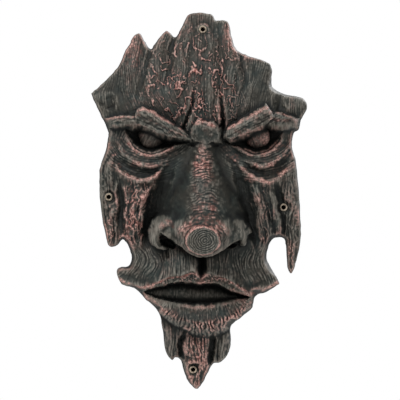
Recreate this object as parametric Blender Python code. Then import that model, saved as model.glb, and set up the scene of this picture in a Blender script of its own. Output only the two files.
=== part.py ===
"""Tree face: a hollow-backed resin casting of a scowling bark face, fixed to a trunk or a wall by four screws.

The face looks along -Y and its flat back lies in the plane Y = 0. The origin is on that back, just under the top
screw hole. The carving is written in carving units, which are millimetres on a face of the size below: x to the
viewer's right of the centre line, z up from the middle of the face, and depth out from the back.
"""

import bmesh
import bpy
import numpy as np
from mathutils import Matrix

# Driving dimensions, in metres
FACE_HEIGHT = 0.375
WALL = 0.007
BACK_LAND = 0.012
SCREW_HOLE = 0.0044
EYELET_DIAMETER = 0.0076
EYELET_RISE = 0.0013
PAD_RADIUS = 0.0085
HANGING_PAD_RADIUS = 0.017
MOUNT_DROP = 0.012

# The height in carving units that all the carving below is drawn to
DRAWN_HEIGHT = 375.0
UNIT = FACE_HEIGHT / DRAWN_HEIGHT

# How far a screw bar runs into the face or past it, and where the screw holes start behind the back
BAR_OVERLAP = 0.003
BAR_PAST = 0.020
HOLE_START = -0.004

# Fineness of the solids
FRONT_GRID = 1.5
HOLLOW_GRID = 5.0
FRONT_TRIANGLES = 7200
HOLLOW_TRIANGLES = 900
HOLLOW_SMOOTHING = 6
ROUND_SIDES = 20
OUTLINE_STEPS = 3
WALL_RINGS = (0.7, 1.5)
WALL_TURNS = 12

# Silhouette, clockwise from the viewer's left of the crown: x, z
OUTLINE = (
    # Crown, from its top down to the left tip
    (-6, 186.6), (-13, 183), (-18.5, 172), (-24.4, 162.5), (-29.5, 166.5), (-33.5, 168.5), (-37.5, 165.5),
    (-44.3, 156.4), (-48.8, 150.7), (-54, 156), (-58.5, 164.3), (-62, 166), (-66.5, 163), (-70, 156),
    (-74, 149.5), (-82.5, 131.9), (-95, 118.5), (-106.4, 107.6), (-107.6, 104.2),
    # Left side, down to the upper lip's left corner
    (-101.2, 89.5), (-92, 70), (-91.4, 63), (-94.3, 48.6), (-99.5, 32.9), (-100.2, 10.5), (-98.1, -14.4),
    (-93, -40), (-90.5, -45.8), (-84, -46), (-78.5, -40), (-75.5, -39.8), (-71, -47), (-68.2, -57.5),
    (-71.5, -65.8), (-81, -67.6), (-83, -73), (-77.8, -83.6), (-66.2, -87.6),
    # Left jaw and the beard
    (-57, -95.4), (-44.4, -106.9), (-39.5, -114.5), (-37, -131), (-34.6, -150), (-28.4, -159.6), (-24.5, -157),
    (-19, -160), (-15, -174), (-8.5, -184.8), (-3.7, -188.3), (1, -184.6), (7.5, -173), (12.7, -163.5),
    (20.5, -161.8), (27, -154.5), (30.7, -142), (30.5, -125.5),
    # Right jaw, the notch in the cheek and the strand that hangs beside it
    (40.5, -116), (51, -107.5), (54.5, -96), (66, -91.5), (76, -85.5), (78.2, -80.7), (70, -66.5), (66.5, -57.5),
    (68.5, -45.5), (74.5, -37.8), (84, -38.8), (86.3, -50), (87.2, -65.6), (90.6, -72.9), (94.3, -66),
    # Right side, up to the crown
    (99.4, -46.5), (100.5, -30), (98.7, 7), (95.5, 38), (91.8, 53.5), (93.4, 66.2), (98.6, 70.6), (100.6, 80),
    (106.6, 92.5), (102.5, 101.4), (85.4, 105.4), (73.4, 111.5), (71.3, 119), (71.5, 131.5), (66, 138),
    (47.9, 143.8), (36, 150.5), (31.8, 161.6), (28.3, 176.3), (22.9, 179.5), (15.8, 179), (10.5, 185.2),
)

# Broad form of the mask under its features: x, z, depth
BROAD_FORM = (
    # Crown and forehead
    (0, 185, 13), (-33, 166, 12), (-62, 164, 12), (-106, 105, 12), (27, 176, 12), (70, 132, 12), (105, 95, 13),
    (-60, 145, 18), (-28, 148, 22), (2, 150, 26), (30, 148, 19),
    (-88, 118, 17), (-60, 118, 28), (-30, 118, 35), (0, 118, 38), (32, 118, 34), (62, 118, 23),
    (-98, 90, 17), (-66, 90, 34), (-34, 92, 41), (0, 88, 44), (36, 92, 41), (68, 90, 33), (98, 90, 18),
    # Eye line
    (-88, 60, 19), (-72, 58, 26), (-48, 60, 31), (-20, 58, 33), (0, 60, 42), (22, 58, 33), (54, 60, 31),
    (76, 58, 26), (88, 60, 18),
    # Cheeks
    (-95, 30, 17), (-76, 30, 30), (-50, 30, 38), (-26, 30, 36), (0, 30, 48), (28, 30, 36), (56, 28, 38),
    (78, 30, 30), (92, 30, 18), (-95, 0, 16), (-76, 0, 27), (-56, 0, 39), (-36, 0, 32), (0, 0, 48), (38, 0, 31),
    (60, 0, 38), (80, 0, 26), (95, 0, 16), (-89, -35, 15), (-66, -30, 31), (-50, -30, 33), (0, -30, 46),
    (50, -28, 31), (68, -30, 28), (92, -35, 15), (91, -62, 12),
    # Upper lip and mouth
    (-66, -57, 24), (-40, -58, 40), (0, -58, 45), (40, -58, 40), (64, -57, 25),
    (-78, -76, 17), (-46, -80, 42), (0, -80, 50), (45, -82, 42), (73, -80, 20),
    (-56, -94, 24), (-44, -100, 32), (0, -98, 44), (45, -100, 32), (52, -100, 24),
    # Chin and beard
    (-36, -118, 26), (0, -118, 46), (34, -118, 28), (-34, -142, 17), (0, -142, 32), (28, -142, 18),
    (-26, -156, 14), (-8, -165, 24), (6, -165, 22), (22, -156, 14), (-4, -185, 13),
)

# Edges of the mouth and the nose, from the viewer's left to right. The lips' own lines are x, z and x, depth
UPPER_LIP_EDGE = (
    (-84, -76), (-81, -79), (-68.5, -84), (-59.3, -87.4), (-52.4, -85.7), (-41, -80.5), (-30.6, -74.8), (-19.2, -73),
    (-11.1, -70.2), (-7.1, -68.8), (1.5, -74.2), (8.4, -70.2), (15.3, -73), (23.3, -74.8), (34.8, -81.7), (44, -89.7),
    (49.7, -92.6), (60, -90.8), (69.2, -86.3), (80, -79.5),
)
UPPER_LIP_DEPTH = (
    (-84, 18), (-68, 28), (-59, 35), (-50, 44), (-41, 51), (-30, 57), (-18, 61), (-7, 63), (2, 60), (9, 63), (20, 61),
    (31, 57), (42, 50), (50, 43), (60, 35), (70, 28), (80, 19),
)
MOUTH_TOP = (
    (-55, -90), (-42, -87.4), (-32, -85.1), (-20, -83.4), (-9, -84), (1.5, -85.1), (12, -84.5), (20, -86.3),
    (29, -90.8), (39, -94.3), (46, -96),
)
MOUTH_BOTTOM = (
    (-66, -87), (-55, -91), (-40, -97.7), (-28, -101.2), (-16, -103), (0, -104), (15, -103), (29, -100), (42, -97),
    (52, -95), (66, -90),
)
LOWER_LIP_FOOT = (
    (-66, -89), (-57, -96.5), (-45, -107), (-35, -115), (-23, -123), (-10, -129), (5, -132), (20, -129), (33, -121),
    (45, -113), (52, -106), (58, -97), (66, -92),
)
LOWER_LIP_DEPTH = (
    (-66, 20), (-57, 32), (-45, 44), (-30, 53), (-12, 58), (5, 60), (22, 58), (36, 52), (48, 43), (58, 31), (66, 20),
)
NOSE_FOOT = (
    (-60, -14), (-46, -21), (-40, -28), (-28, -37.5), (-18, -42), (-10, -48), (-4, -50.6), (3, -51.4), (10, -50.6),
    (19, -45.5), (32, -41), (42, -36), (50, -32), (60, -28),
)

# Screw holes: name, x, z, depth of the flat seat round the eyelet
SCREW_HOLES = (
    ("top", 2.8, 169.2, 20.0),
    ("left", -90.6, 3.0, 15.5),
    ("right", 83.0, -7.3, 19.0),
    ("bottom", -6.8, -168.0, 23.0),
)

# The rim of the casting: depth at the silhouette, then a quarter round, then a slope up to the mask
RIM_DEPTH = 5.0
RIM_ROUND = 9.0
RIM_SLOPE = 3.2

# Where the lips stand out over the silhouette, so that the rim is deeper there: x, z, radius, rise
DEEP_RIMS = (
    (-46, -105, 20, 15), (-36, -118, 14, 12), (47, -107, 20, 18), (30, -121, 17, 16), (-76, -78, 12, 5),
    (74, -82, 12, 5),
)

# The silhouette's prism is deeper than any carving, and the blocks that cut it end behind the back plane
PRISM_DEPTH = 120.0
FRONT_FLOOR = -4.0
FRONT_BEHIND = -8.0
HOLLOW_FLOOR = -8.0
HOLLOW_BEHIND = -20.0
HOLLOW_SLOPE = 2.2

# Depths past this sag downwards, which hooks the nose over the lip
DROOP_FROM = 45.0
DROOP = 0.15

# Dark bark brown, linear
FACE_COLOUR = (0.060, 0.055, 0.048, 1.0)


def smooth_step(low, high, value):
    """0 below low, 1 above high, and an S between."""
    share = np.clip((value - low) / (high - low), 0, 1)
    return share * share * (3 - 2 * share)


def smooth_max(a, b, radius):
    """The larger of two depths, with the corner between them filleted."""
    corner = np.clip(1 - np.abs(a - b) / radius, 0, 1)
    return np.maximum(a, b) + corner * corner * radius / 4


def smooth_min(a, b, radius):
    """The smaller of two depths, with the corner between them rounded off."""
    return -smooth_max(-a, -b, radius)


def curve_through(points, steps=4, closed=False):
    """A Catmull-Rom curve through rows of numbers, with steps points to a span."""
    rows = np.asarray(points, float)
    if closed:
        padded = np.vstack([rows[-1:], rows, rows[:2]])
    else:
        padded = np.vstack([2 * rows[0] - rows[1], rows, 2 * rows[-1] - rows[-2]])
    t = (np.arange(steps) / steps)[:, None, None]
    before, start, end, after = padded[:-3], padded[1:-2], padded[2:-1], padded[3:]
    slope = end - before
    bend = 2 * before - 5 * start + 4 * end - after
    twist = 3 * (start - end) - before + after
    curve = (start + 0.5 * (slope * t + bend * t**2 + twist * t**3)).transpose(1, 0, 2)
    curve = curve.reshape(-1, rows.shape[1])
    return curve if closed else np.vstack([curve, rows[-1:]])


def along(rows, x):
    """Reads a smooth curve through rows of x, value at each x."""
    curve = curve_through(rows)
    return np.interp(x, curve[:, 0], curve[:, 1])


def nearest(line, x, z):
    """Distance from each point to a polyline with rows x, z, ..., and the rows' other values at the nearest place."""
    best = np.full(x.shape, 1e6)
    values = np.zeros(x.shape + (line.shape[1] - 2,))
    for start, end in zip(line[:-1], line[1:]):
        run_x, run_z = end[0] - start[0], end[1] - start[1]
        length = max(run_x * run_x + run_z * run_z, 1e-9)
        share = np.clip(((x - start[0]) * run_x + (z - start[1]) * run_z) / length, 0, 1)
        distance = np.hypot(x - start[0] - share * run_x, z - start[1] - share * run_z)
        closer = distance < best
        best = np.where(closer, distance, best)
        here = start[2:] + share[..., None] * (end[2:] - start[2:])
        values = np.where(closer[..., None], here, values)
    return best, values


def near_line(line, x, z, margin):
    """Which points lie in the line's box, grown by margin."""
    low, high = line[:, :2].min(0) - margin, line[:, :2].max(0) + margin
    return (x > low[0]) & (x < high[0]) & (z > low[1]) & (z < high[1])


def strand(depth, x, z, points):
    """Adds a strand that tapers away at both ends: rows are x, z, half width, rise. A negative rise is a split."""
    line = curve_through(points)
    share = np.linspace(0, 1, len(line))
    taper = smooth_step(0, 0.25, share) * smooth_step(0, 0.25, 1 - share)
    line[:, 3] *= taper
    line[:, 2] *= 0.45 + 0.55 * taper
    near = near_line(line, x, z, line[:, 2].max())
    distance, values = nearest(line, x[near], z[near])
    depth = depth.copy()
    depth[near] += values[:, 1] * np.clip(1 - (distance / values[:, 0]) ** 2, 0, 1) ** 1.5
    return depth


def log(depth, x, z, points, drop, power=2.5, fillet=4.0):
    """Lays a rounded log: rows are x, z, half width, crest depth. Its sides fall by drop at the half width."""
    line = curve_through(points)
    near = near_line(line, x, z, 2.2 * line[:, 2].max())
    distance, values = nearest(line, x[near], z[near])
    crest = values[:, 1] - drop * (distance / values[:, 0]) ** power
    depth = depth.copy()
    depth[near] = smooth_max(depth[near], crest, fillet)
    return depth


def trough(depth, x, z, points, rise, power=3.0, fillet=3.0):
    """Scoops a trough: rows are x, z, half width, floor depth. Its sides climb by rise at the half width."""
    line = curve_through(points)
    near = near_line(line, x, z, 2.2 * line[:, 2].max())
    distance, values = nearest(line, x[near], z[near])
    floor = values[:, 1] + rise * (distance / values[:, 0]) ** power
    depth = depth.copy()
    depth[near] = smooth_min(depth[near], floor, fillet)
    return depth


def lapped(depth, x, z, points, centre):
    """Adds a lapped fold round a centre: rows are x, z, width on the centre's side, width beyond, rise."""
    line = curve_through(points)
    share = np.linspace(0, 1, len(line))
    line[:, 4] *= smooth_step(0, 0.2, share) * smooth_step(0, 0.2, 1 - share)
    near = near_line(line, x, z, line[:, 2:4].max())
    near_x, near_z = x[near], z[near]
    distance, values = nearest(np.hstack([line, line[:, :2]]), near_x, near_z)
    foot_out = np.hypot(values[:, 3] - centre[0], values[:, 4] - centre[1])
    beyond = np.hypot(near_x - centre[0], near_z - centre[1]) > foot_out
    width = np.where(beyond, values[:, 1], values[:, 0])
    depth = depth.copy()
    depth[near] += values[:, 2] * smooth_step(1, 0, distance / width)
    return depth


def thin_plate(stations, x, z):
    """The smoothest sheet through rows of x, z, depth: a thin-plate spline."""
    rows = np.asarray(stations, float)
    count = len(rows)

    def kernel(squared):
        return squared * np.log(squared + 1e-9)

    apart = (rows[:, None, 0] - rows[None, :, 0]) ** 2 + (rows[:, None, 1] - rows[None, :, 1]) ** 2
    equations = np.zeros((count + 3, count + 3))
    equations[:count, :count] = kernel(apart)
    equations[:count, count:] = np.column_stack([np.ones(count), rows[:, :2]])
    equations[count:, :count] = equations[:count, count:].T
    weights = np.linalg.solve(equations, np.append(rows[:, 2], np.zeros(3)))
    sheet = weights[count] + weights[count + 1] * x + weights[count + 2] * z
    for (station_x, station_z, _), weight in zip(rows, weights):
        sheet = sheet + weight * kernel((x - station_x) ** 2 + (z - station_z) ** 2)
    return sheet


def inside_distance(x, z):
    """Distance in from the silhouette, negative outside it."""
    outline = curve_through(OUTLINE, OUTLINE_STEPS, closed=True)
    loop = np.vstack([outline, outline[:1]])
    distance, _ = nearest(loop, x, z)
    crossings = np.zeros(x.shape, int)
    for (start_x, start_z), (end_x, end_z) in zip(loop[:-1], loop[1:]):
        if start_z == end_z:
            continue
        spans = (z >= min(start_z, end_z)) & (z < max(start_z, end_z))
        crosses = start_x + (z - start_z) / (end_z - start_z) * (end_x - start_x)
        crossings += spans & (crosses > x)
    return np.where(crossings % 2 == 1, distance, -distance)


def wandered(x, z):
    """x with the slow wander of wood grain, for the features that follow the bark."""
    return x + 1.1 * np.sin(z / 9.1 + x / 13) + 0.6 * np.sin(z / 4.3 - x / 8 + 1.7)


def forehead(depth, x, z):
    """Bark ridges that run down from the crown's tips, and the splits between them."""
    x = wandered(x, z)
    ridges = (
        [(-61, 166, 7, 3), (-66, 146, 9, 4), (-72, 120, 10, 3), (-75, 96, 9, 2)],
        [(-34, 170, 6, 3), (-41, 145, 8, 3), (-47, 122, 9, 3), (-50, 98, 8, 2)],
        [(-12, 188, 9, 3), (-15, 160, 9, 3), (-20, 128, 9, 3), (-27, 92, 7, 2)],
        [(9, 178, 6, 3), (11, 148, 8, 2), (12, 118, 8, 3), (7, 84, 6, 3)],
        [(24, 182, 6, 3), (28, 154, 8, 3), (33, 126, 8, 2), (30, 94, 6, 2)],
        [(66, 140, 9, 3), (60, 122, 9, 3), (50, 100, 8, 2)],
        [(106, 98, 9, 4), (93, 93, 9, 4), (80, 84, 8, 3)],
        [(-109, 104, 8, 4), (-94, 102, 9, 4), (-80, 90, 8, 3)],
    )
    splits = (
        [(-49, 160, 4, -4), (-53, 136, 4, -2), (-59, 112, 4, -2), (-63, 92, 3, -2)],
        [(-25, 172, 4, -5), (-28, 148, 4, -3), (-32, 126, 3, -2), (-37, 104, 3, -2)],
        [(-4, 118, 3, -2), (-7, 98, 3, -4), (-11, 82, 3, -5), (-14, 72, 3, -6), (-17, 64, 2, -4)],
        [(20, 122, 3, -2), (21, 100, 3, -4), (21, 84, 3, -7), (21.5, 72, 3.5, -12), (22, 60, 3.5, -12)],
        [(36, 162, 3, -4), (41, 138, 4, -2), (44, 116, 4, -2), (38, 90, 3, -2)],
        [(76, 120, 5, -3), (77, 100, 6, -4), (83, 80, 5, -4)],
        [(-92, 106, 6, -3), (-86, 88, 6, -4)],
    )
    for points in ridges + splits:
        depth = strand(depth, x, z, points)
    return depth


def eyes(depth, x, z):
    """Sunken sockets with their eyeballs and lower lids. The brows come after them and overhang them."""
    left_socket = [(-12, 58, 3, 30), (-28, 60, 8, 18), (-46, 61.5, 14, 12), (-60, 64, 12, 14), (-70, 68, 6, 22)]
    right_socket = [(26, 58, 3, 30), (38, 59, 8, 18), (55, 61.5, 14, 12), (69, 64, 12, 14), (80, 68, 6, 22)]
    for socket in (left_socket, right_socket):
        depth = trough(depth, x, z, socket, rise=18, fillet=4)
    for centre_x, centre_z, radius in ((-48, 64, 13), (57, 63, 12.5)):
        apart = np.hypot(x - centre_x, z - centre_z)
        ball = 30 - radius + np.sqrt(np.clip(radius**2 - apart**2, 0, None))
        depth = np.where(apart < radius, np.maximum(depth, ball), depth)
    left_lid = [
        (-75, 74, 2, 5, 2), (-72.5, 62, 2, 7, 3.5), (-66, 52, 2, 8, 4.5), (-56, 45.5, 2, 8, 5), (-45, 44.5, 2, 7, 5),
        (-35, 47.5, 2, 6, 5), (-25, 53, 2, 5, 4.5), (-14, 54, 2, 4, 3),
    ]
    right_lid = [
        (24, 55, 2, 4, 3), (35, 53, 2, 5, 4.5), (45, 47, 2, 6, 5), (54, 44, 2, 7, 5), (65, 46, 2, 8, 5),
        (74, 51.5, 2, 8, 4.5), (81, 61, 2, 7, 3.5), (84, 73, 2, 5, 2),
    ]
    depth = lapped(depth, x, z, left_lid, (-47, 64))
    return lapped(depth, x, z, right_lid, (56, 64))


def beam(depth, x, z, upper, lower, crest, steep=4.0):
    """A split beam: rows x, z of its upper and lower edges and x, depth of its ridge, which runs under its top."""
    top, bottom = np.interp(x, *np.transpose(upper)), np.interp(x, *np.transpose(lower))
    below = top - z
    face = along(crest, x) - 0.8 * np.clip(4 - below, 0, None) - 0.3 * np.clip(below - 4, 0, None)
    left, right = min(upper[0][0], lower[0][0]), max(upper[-1][0], lower[-1][0])
    out = np.maximum.reduce([-below, bottom - z, left - x, x - right])
    return smooth_max(depth, face - steep * np.clip(out, 0, None), 2)


def brows(depth, x, z):
    """A gnarled limb over the left eye, a split plank over the right one, and a knot between them."""
    depth = beam(
        depth, x, z,
        upper=[(-97, 78), (-94, 81), (-81, 82.5), (-63.5, 81.5), (-61.5, 88.5), (-57, 90.6), (-47, 87), (-35, 79),
               (-18, 69), (-9, 62)],
        lower=[(-97, 75), (-91, 74), (-78, 72.5), (-71, 73.5), (-58, 74), (-45, 68), (-30, 64), (-14, 60), (-9, 58)],
        crest=[(-97, 22), (-82, 38), (-68, 46), (-56, 53), (-40, 56), (-26, 54), (-12, 47), (-6, 44)],
    )
    outer_limb = [(66, 80, 8, 46), (78, 78, 9, 44), (88, 77, 8, 36), (98, 76, 6, 25)]
    depth = log(depth, x, z, outer_limb, drop=14, power=3, fillet=4)
    depth = beam(
        depth, x, z,
        upper=[(24.5, 64), (26.4, 69.8), (65.5, 92.4), (72, 83)],
        lower=[(24.5, 63), (30, 60), (55.6, 71), (64, 75), (72, 82)],
        crest=[(20, 49), (36, 55), (54, 58), (74, 52)],
    )
    depth = beam(
        depth, x, z,
        upper=[(-8.7, 70), (-8.2, 72), (-1.9, 79.3), (5, 77), (12.8, 76), (18, 71.2), (18.3, 69)],
        lower=[(-8.7, 60), (-3, 57.5), (6, 56.5), (14, 57), (18.3, 58.5)],
        crest=[(-12, 46), (-2, 52), (11, 53), (20, 47)],
        steep=2.5,
    )
    return strand(depth, x, z, [(-14, 55, 2.5, -4), (4, 53.5, 2.8, -4), (22, 55.5, 2.5, -4)])


def eye_bags(depth, x, z):
    """A cushion under each lid that laps over a deep fold, and a raised rim under that."""
    left, right = (-47, 66), (57, 66)
    cushions = (
        ([(-86, 62, 5, 3, 1.5), (-80, 51, 7, 3, 3), (-72, 42, 8, 3.5, 4), (-63, 37, 9, 3.5, 4.5), (-54, 33.5, 9, 3.5, 4.5),
          (-44, 33.5, 8, 3.5, 4), (-34, 39, 5, 3, 2)], left),
        ([(93, 60, 5, 3, 1.5), (86, 50, 7, 3, 3), (77, 41, 8, 3.5, 4), (68, 35, 9, 3.5, 4.5), (59, 33, 9, 3.5, 4.5),
          (50, 35, 8, 3.5, 4), (42, 41, 5, 3, 2)], right),
    )
    for points, centre in cushions:
        depth = lapped(depth, x, z, points, centre)
    folds = (
        [(-86, 46, 5, -2), (-80, 38, 6, -4), (-71, 30.5, 7, -5), (-60, 26.5, 7, -5.5), (-50, 27, 6, -5),
         (-41, 31, 5, -3), (-33, 38, 4, -2)],
        [(91, 46, 5, -2), (84, 38, 6, -4), (75, 30, 7, -5), (65, 26, 7, -5.5), (55, 28, 6, -5), (46, 34, 5, -3),
         (39, 41, 4, -2)],
    )
    for points in folds:
        depth = strand(depth, x, z, points)
    rims = (
        ([(-90, 42, 4, 6, 2), (-84, 32, 5, 8, 4), (-74, 24.5, 5, 9, 5), (-63, 20.5, 5, 9, 5), (-53, 20, 5, 8, 5),
          (-44, 23.5, 4, 7, 4.5), (-34, 32, 4, 6, 2)], left),
        ([(95, 42, 4, 6, 2), (88, 31, 5, 8, 4), (79, 22, 5, 9, 5), (69, 17.5, 5, 9, 5), (59, 18.5, 5, 8, 5),
          (50, 24.5, 4, 7, 4.5), (41, 33, 4, 6, 2)], right),
    )
    for points, centre in rims:
        depth = lapped(depth, x, z, points, centre)
    return depth


def cheeks(depth, x, z):
    """Gnarled strands down each cheek, the valleys between them, and the outer flaps."""
    x = wandered(x, z)
    left_valley = [
        (-24, 42, 6, 35), (-33, 24, 9, 30), (-42, 2, 10, 25), (-48, -20, 10, 22), (-53, -38, 8, 25), (-58, -54, 4, 32),
    ]
    right_valley = [
        (30, 42, 6, 35), (38, 22, 8, 30), (45, 0, 9, 25), (50, -22, 9, 22), (54, -38, 7, 25), (58, -54, 4, 32),
    ]
    for valley in (left_valley, right_valley):
        depth = trough(depth, x, z, valley, rise=12, power=2.5, fillet=5)
    strands = (
        [(-59, 20, 5, 4), (-60, 4, 7, 6), (-66, -12, 6, 7), (-67, -28, 7, 6), (-74, -46, 5, 5)],
        [(-49, 16, 4, 3), (-54, 4, 6, 5), (-55, -8, 5, 6), (-60, -22, 6, 5), (-64, -42, 5, 5)],
        [(-88, 46, 4, 4), (-90, 28, 5, 5), (-87, 12, 4, 4)],
        [(-86, -6, 5, 5), (-90, -22, 5, 5), (-88, -46, 5, 5)],
        [(51, 16, 5, 4), (57, 2, 6, 6), (62, -14, 5, 7), (68, -30, 6, 6), (69, -46, 5, 5)],
        [(48, 12, 4, 3), (53, 0, 5, 5), (58, -14, 5, 5), (61, -30, 5, 5), (64, -48, 5, 5)],
        [(70, 14, 4, 4), (72, -2, 5, 6), (77, -22, 5, 6), (79, -40, 4, 5)],
        [(90, 44, 6, 3), (90, 20, 8, 5), (92, -8, 8, 5), (95, -34, 7, 5), (94, -56, 5, 4), (91, -76, 4, 3)],
        [(-79, 22, 4, -4), (-77, 4, 5, -6), (-79, -16, 5, -7), (-78, -44, 5, -6)],
        [(74, 24, 4, -4), (79, 6, 5, -6), (80, -10, 4, -6), (84, -44, 4, -6)],
    )
    for points in strands:
        depth = strand(depth, x, z, points)
    return depth


def mouth(depth, x, z):
    """The upper lip's flared edge with its lower face, the open mouth with the gum in it, and the wide lower lip."""
    edge, stands = along(UPPER_LIP_EDGE, x), along(UPPER_LIP_DEPTH, x)
    above = z - edge - DROOP * np.clip(stands - DROOP_FROM, 0, None)
    lip = stands - 0.7 * np.clip(above, 0, None) - 0.7 * np.clip(-above, 0, None)
    depth = smooth_max(depth, lip, 1.5)
    philtrum = [(2, -42, 6, -6), (2, -56, 7, -12), (2, -64, 6.5, -13), (1.5, -71, 4, -9), (1.5, -77, 2, -4)]
    depth = strand(depth, x, z, philtrum)

    top, bottom = along(MOUTH_TOP, x), along(MOUTH_BOTTOM, x)
    middle, half = (top + bottom) / 2, np.maximum((top - bottom) / 2, 0.1)
    gum = 27 + 8 * np.clip(1 - ((z - middle) / half) ** 2, 0, 1) * np.clip(1 - (x / 52) ** 2, 0, 1)
    past_corners = np.clip(MOUTH_TOP[0][0] - x, 0, None) + np.clip(x - MOUTH_TOP[-1][0], 0, None)
    cavity = gum + 6 * np.clip(np.abs(z - middle) - half, 0, None) + 4 * past_corners
    depth = smooth_min(depth, cavity, 2.5)

    foot = along(LOWER_LIP_FOOT, x)
    down = (bottom - z) / np.maximum(bottom - foot, 1)
    roll = 8 * np.clip(1 - down / 0.42, 0, None) ** 2 + 15 * np.clip((down - 0.42) / 0.58, 0, None) ** 2.6
    lip = along(LOWER_LIP_DEPTH, x) - roll - 6 * np.clip(z - bottom, 0, None)
    return smooth_max(depth, lip, 2.5)


def beard(depth, x, z):
    """A middle root that hangs from under the lower lip, with a ribbed slab on each side."""
    root = [(0, -128, 10, 34), (-5, -142, 12, 38), (-2, -156, 10, 34), (-6, -170, 8.5, 29), (-4, -184, 5, 20)]
    depth = log(depth, x, z, root, drop=9, power=3, fillet=3)
    for points in (
        [(-14, -126, 4, -7), (-19, -144, 4, -8), (-17, -164, 4, -7)],
        [(12, -126, 4, -7), (12, -144, 4.5, -8), (10, -160, 4, -7), (14, -170, 3, -5)],
        [(-33, -118, 4, 3), (-29, -138, 5, 4), (-29, -160, 4, 4)],
        [(28, -126, 5, 4), (22, -144, 5, 5), (21, -164, 4, 4)],
    ):
        depth = strand(depth, x, z, points)
    return depth


def nose(depth, x, z):
    """A heavy nose that ends in a sawn branch stub, cut off sharply below, with curled wings round the nostrils."""
    bridge = [(4, 58, 14, 50), (3, 42, 18, 55), (3, 26, 23, 61.5), (3, 8, 28, 70), (3, -8, 31, 78), (3, -26, 31, 85)]
    body = log(np.full(x.shape, -60.0), x, z, bridge, drop=31, power=1.8)
    wings = log(np.full(x.shape, -60.0), x, z, [(-16, -24, 13, 66), (-27, -28, 12, 65), (-35, -32, 9, 61)], drop=14)
    wings = log(wings, x, z, [(20, -25, 13, 66), (32, -29, 12, 64), (39, -33, 9, 60)], drop=14)
    body = smooth_max(body, wings, 12)
    out = np.hypot((x - 2.8) / 16.2, (z + 32) / 13.4)
    fall = 24 + 18 * smooth_step(-22, -34, z)
    stub = 96 - 2 * smooth_step(0.97, 1.12, out) - fall * np.clip(out - 1, 0, None)
    stub = stub - 40 * np.clip(out - 1.5, 0, None) ** 2
    body = smooth_max(body, stub, 9)
    body = body - 9 * np.clip(along(NOSE_FOOT, x) - z, 0, None)
    depth = smooth_max(depth, body, 5)
    left_wing = [(-25, -20, 5, 61), (-33, -21, 6.5, 62.5), (-39.5, -25, 7, 62), (-43.3, -32, 6.3, 60.5),
                 (-43.7, -39.5, 4.8, 59), (-40.5, -45, 3.5, 56), (-35, -47.5, 2.4, 53)]
    right_wing = [
        (24, -20, 5, 60), (34, -22.5, 6.5, 62), (39.5, -28.5, 6.5, 61), (41.5, -35, 5.2, 59), (42, -42.5, 3.4, 55),
    ]
    for wing in (left_wing, right_wing):
        depth = log(depth, x, z, wing, drop=16, fillet=5)
    left_nostril = [(-37.5, -36.5, 3.6, 42), (-34.5, -40.5, 5.6, 32), (-27, -45, 4.6, 32)]
    right_nostril = [(38, -41, 2.2, 42), (34, -44.5, 3.4, 34), (27, -46.5, 2.8, 36)]
    for nostril in (left_nostril, right_nostril):
        depth = trough(depth, x, z, nostril, rise=20, fillet=2)
    return depth


def screw_seats(depth, x, z):
    """A flat seat round each screw hole, which blends into the carving."""
    for _, hole_x, hole_z, seat in SCREW_HOLES:
        away = smooth_step(4.5, 8.5, np.hypot(x - hole_x, z - hole_z))
        depth = seat + (depth - seat) * away
    return depth


def with_rim(depth, x, z, inward):
    """The lesser of the carving and the rim, which rounds up from the silhouette and then slopes."""
    over = np.clip(inward / RIM_ROUND, 0, 1)
    rim = RIM_DEPTH + RIM_ROUND * np.sqrt(over * (2 - over)) + RIM_SLOPE * inward
    for centre_x, centre_z, radius, rise in DEEP_RIMS:
        rim = rim + rise * smooth_step(1, 0.5, np.hypot(x - centre_x, z - centre_z) / radius)
    return smooth_min(depth, rim, 3)


def relief(x, z):
    """Depth of the carved front at each x, z, before the nose droops."""
    depth = thin_plate(BROAD_FORM, x, z)
    for carve in (forehead, eyes, brows, eye_bags, cheeks, mouth, beard, nose, screw_seats):
        depth = carve(depth, x, z)
    depth = with_rim(depth, x, z, np.clip(inside_distance(x, z), -2, None))
    return np.maximum(depth, FRONT_FLOOR)


def hollow(x, z):
    """Depth of the hollow: a wall behind the carving, less a flat land along the rim and round the screws."""
    wall = WALL / UNIT
    depth = relief(x, z)
    for share in WALL_RINGS:
        for turn in np.linspace(0, 2 * np.pi, WALL_TURNS, endpoint=False):
            reach = share * wall
            depth = np.minimum(depth, relief(x + reach * np.cos(turn), z + reach * np.sin(turn)))
    depth = depth - wall
    depth = smooth_min(depth, HOLLOW_SLOPE * (inside_distance(x, z) - BACK_LAND / UNIT), 6)
    for name, hole_x, hole_z, _ in SCREW_HOLES:
        pad = (HANGING_PAD_RADIUS if name == "top" else PAD_RADIUS) / UNIT
        depth = smooth_min(depth, HOLLOW_SLOPE * (np.hypot(x - hole_x, z - hole_z) - pad), 4)
    return np.maximum(depth, HOLLOW_FLOOR)


# From here on, the carving is placed in the part's frame and made solid


def placed(x, z, depth):
    """Carving units to metres in the part's frame, as rows of x, y, z."""
    hole = SCREW_HOLES[0]
    down = z - hole[2] + MOUNT_DROP / UNIT - DROOP * np.clip(depth - DROOP_FROM, 0, None)
    return np.stack([(x - hole[1]) * UNIT, -depth * UNIT, down * UNIT], axis=-1)


def new_object(name, mesh, collection):
    obj = bpy.data.objects.new(name, mesh)
    collection.objects.link(obj)
    return obj


def as_cutter(obj):
    obj.hide_render = True
    obj.display_type = "WIRE"
    return obj


def evaluated_mesh(obj):
    """The object's mesh with its modifiers applied."""
    bpy.context.view_layer.update()
    graph = bpy.context.evaluated_depsgraph_get()
    return bpy.data.meshes.new_from_object(obj.evaluated_get(graph))


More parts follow.
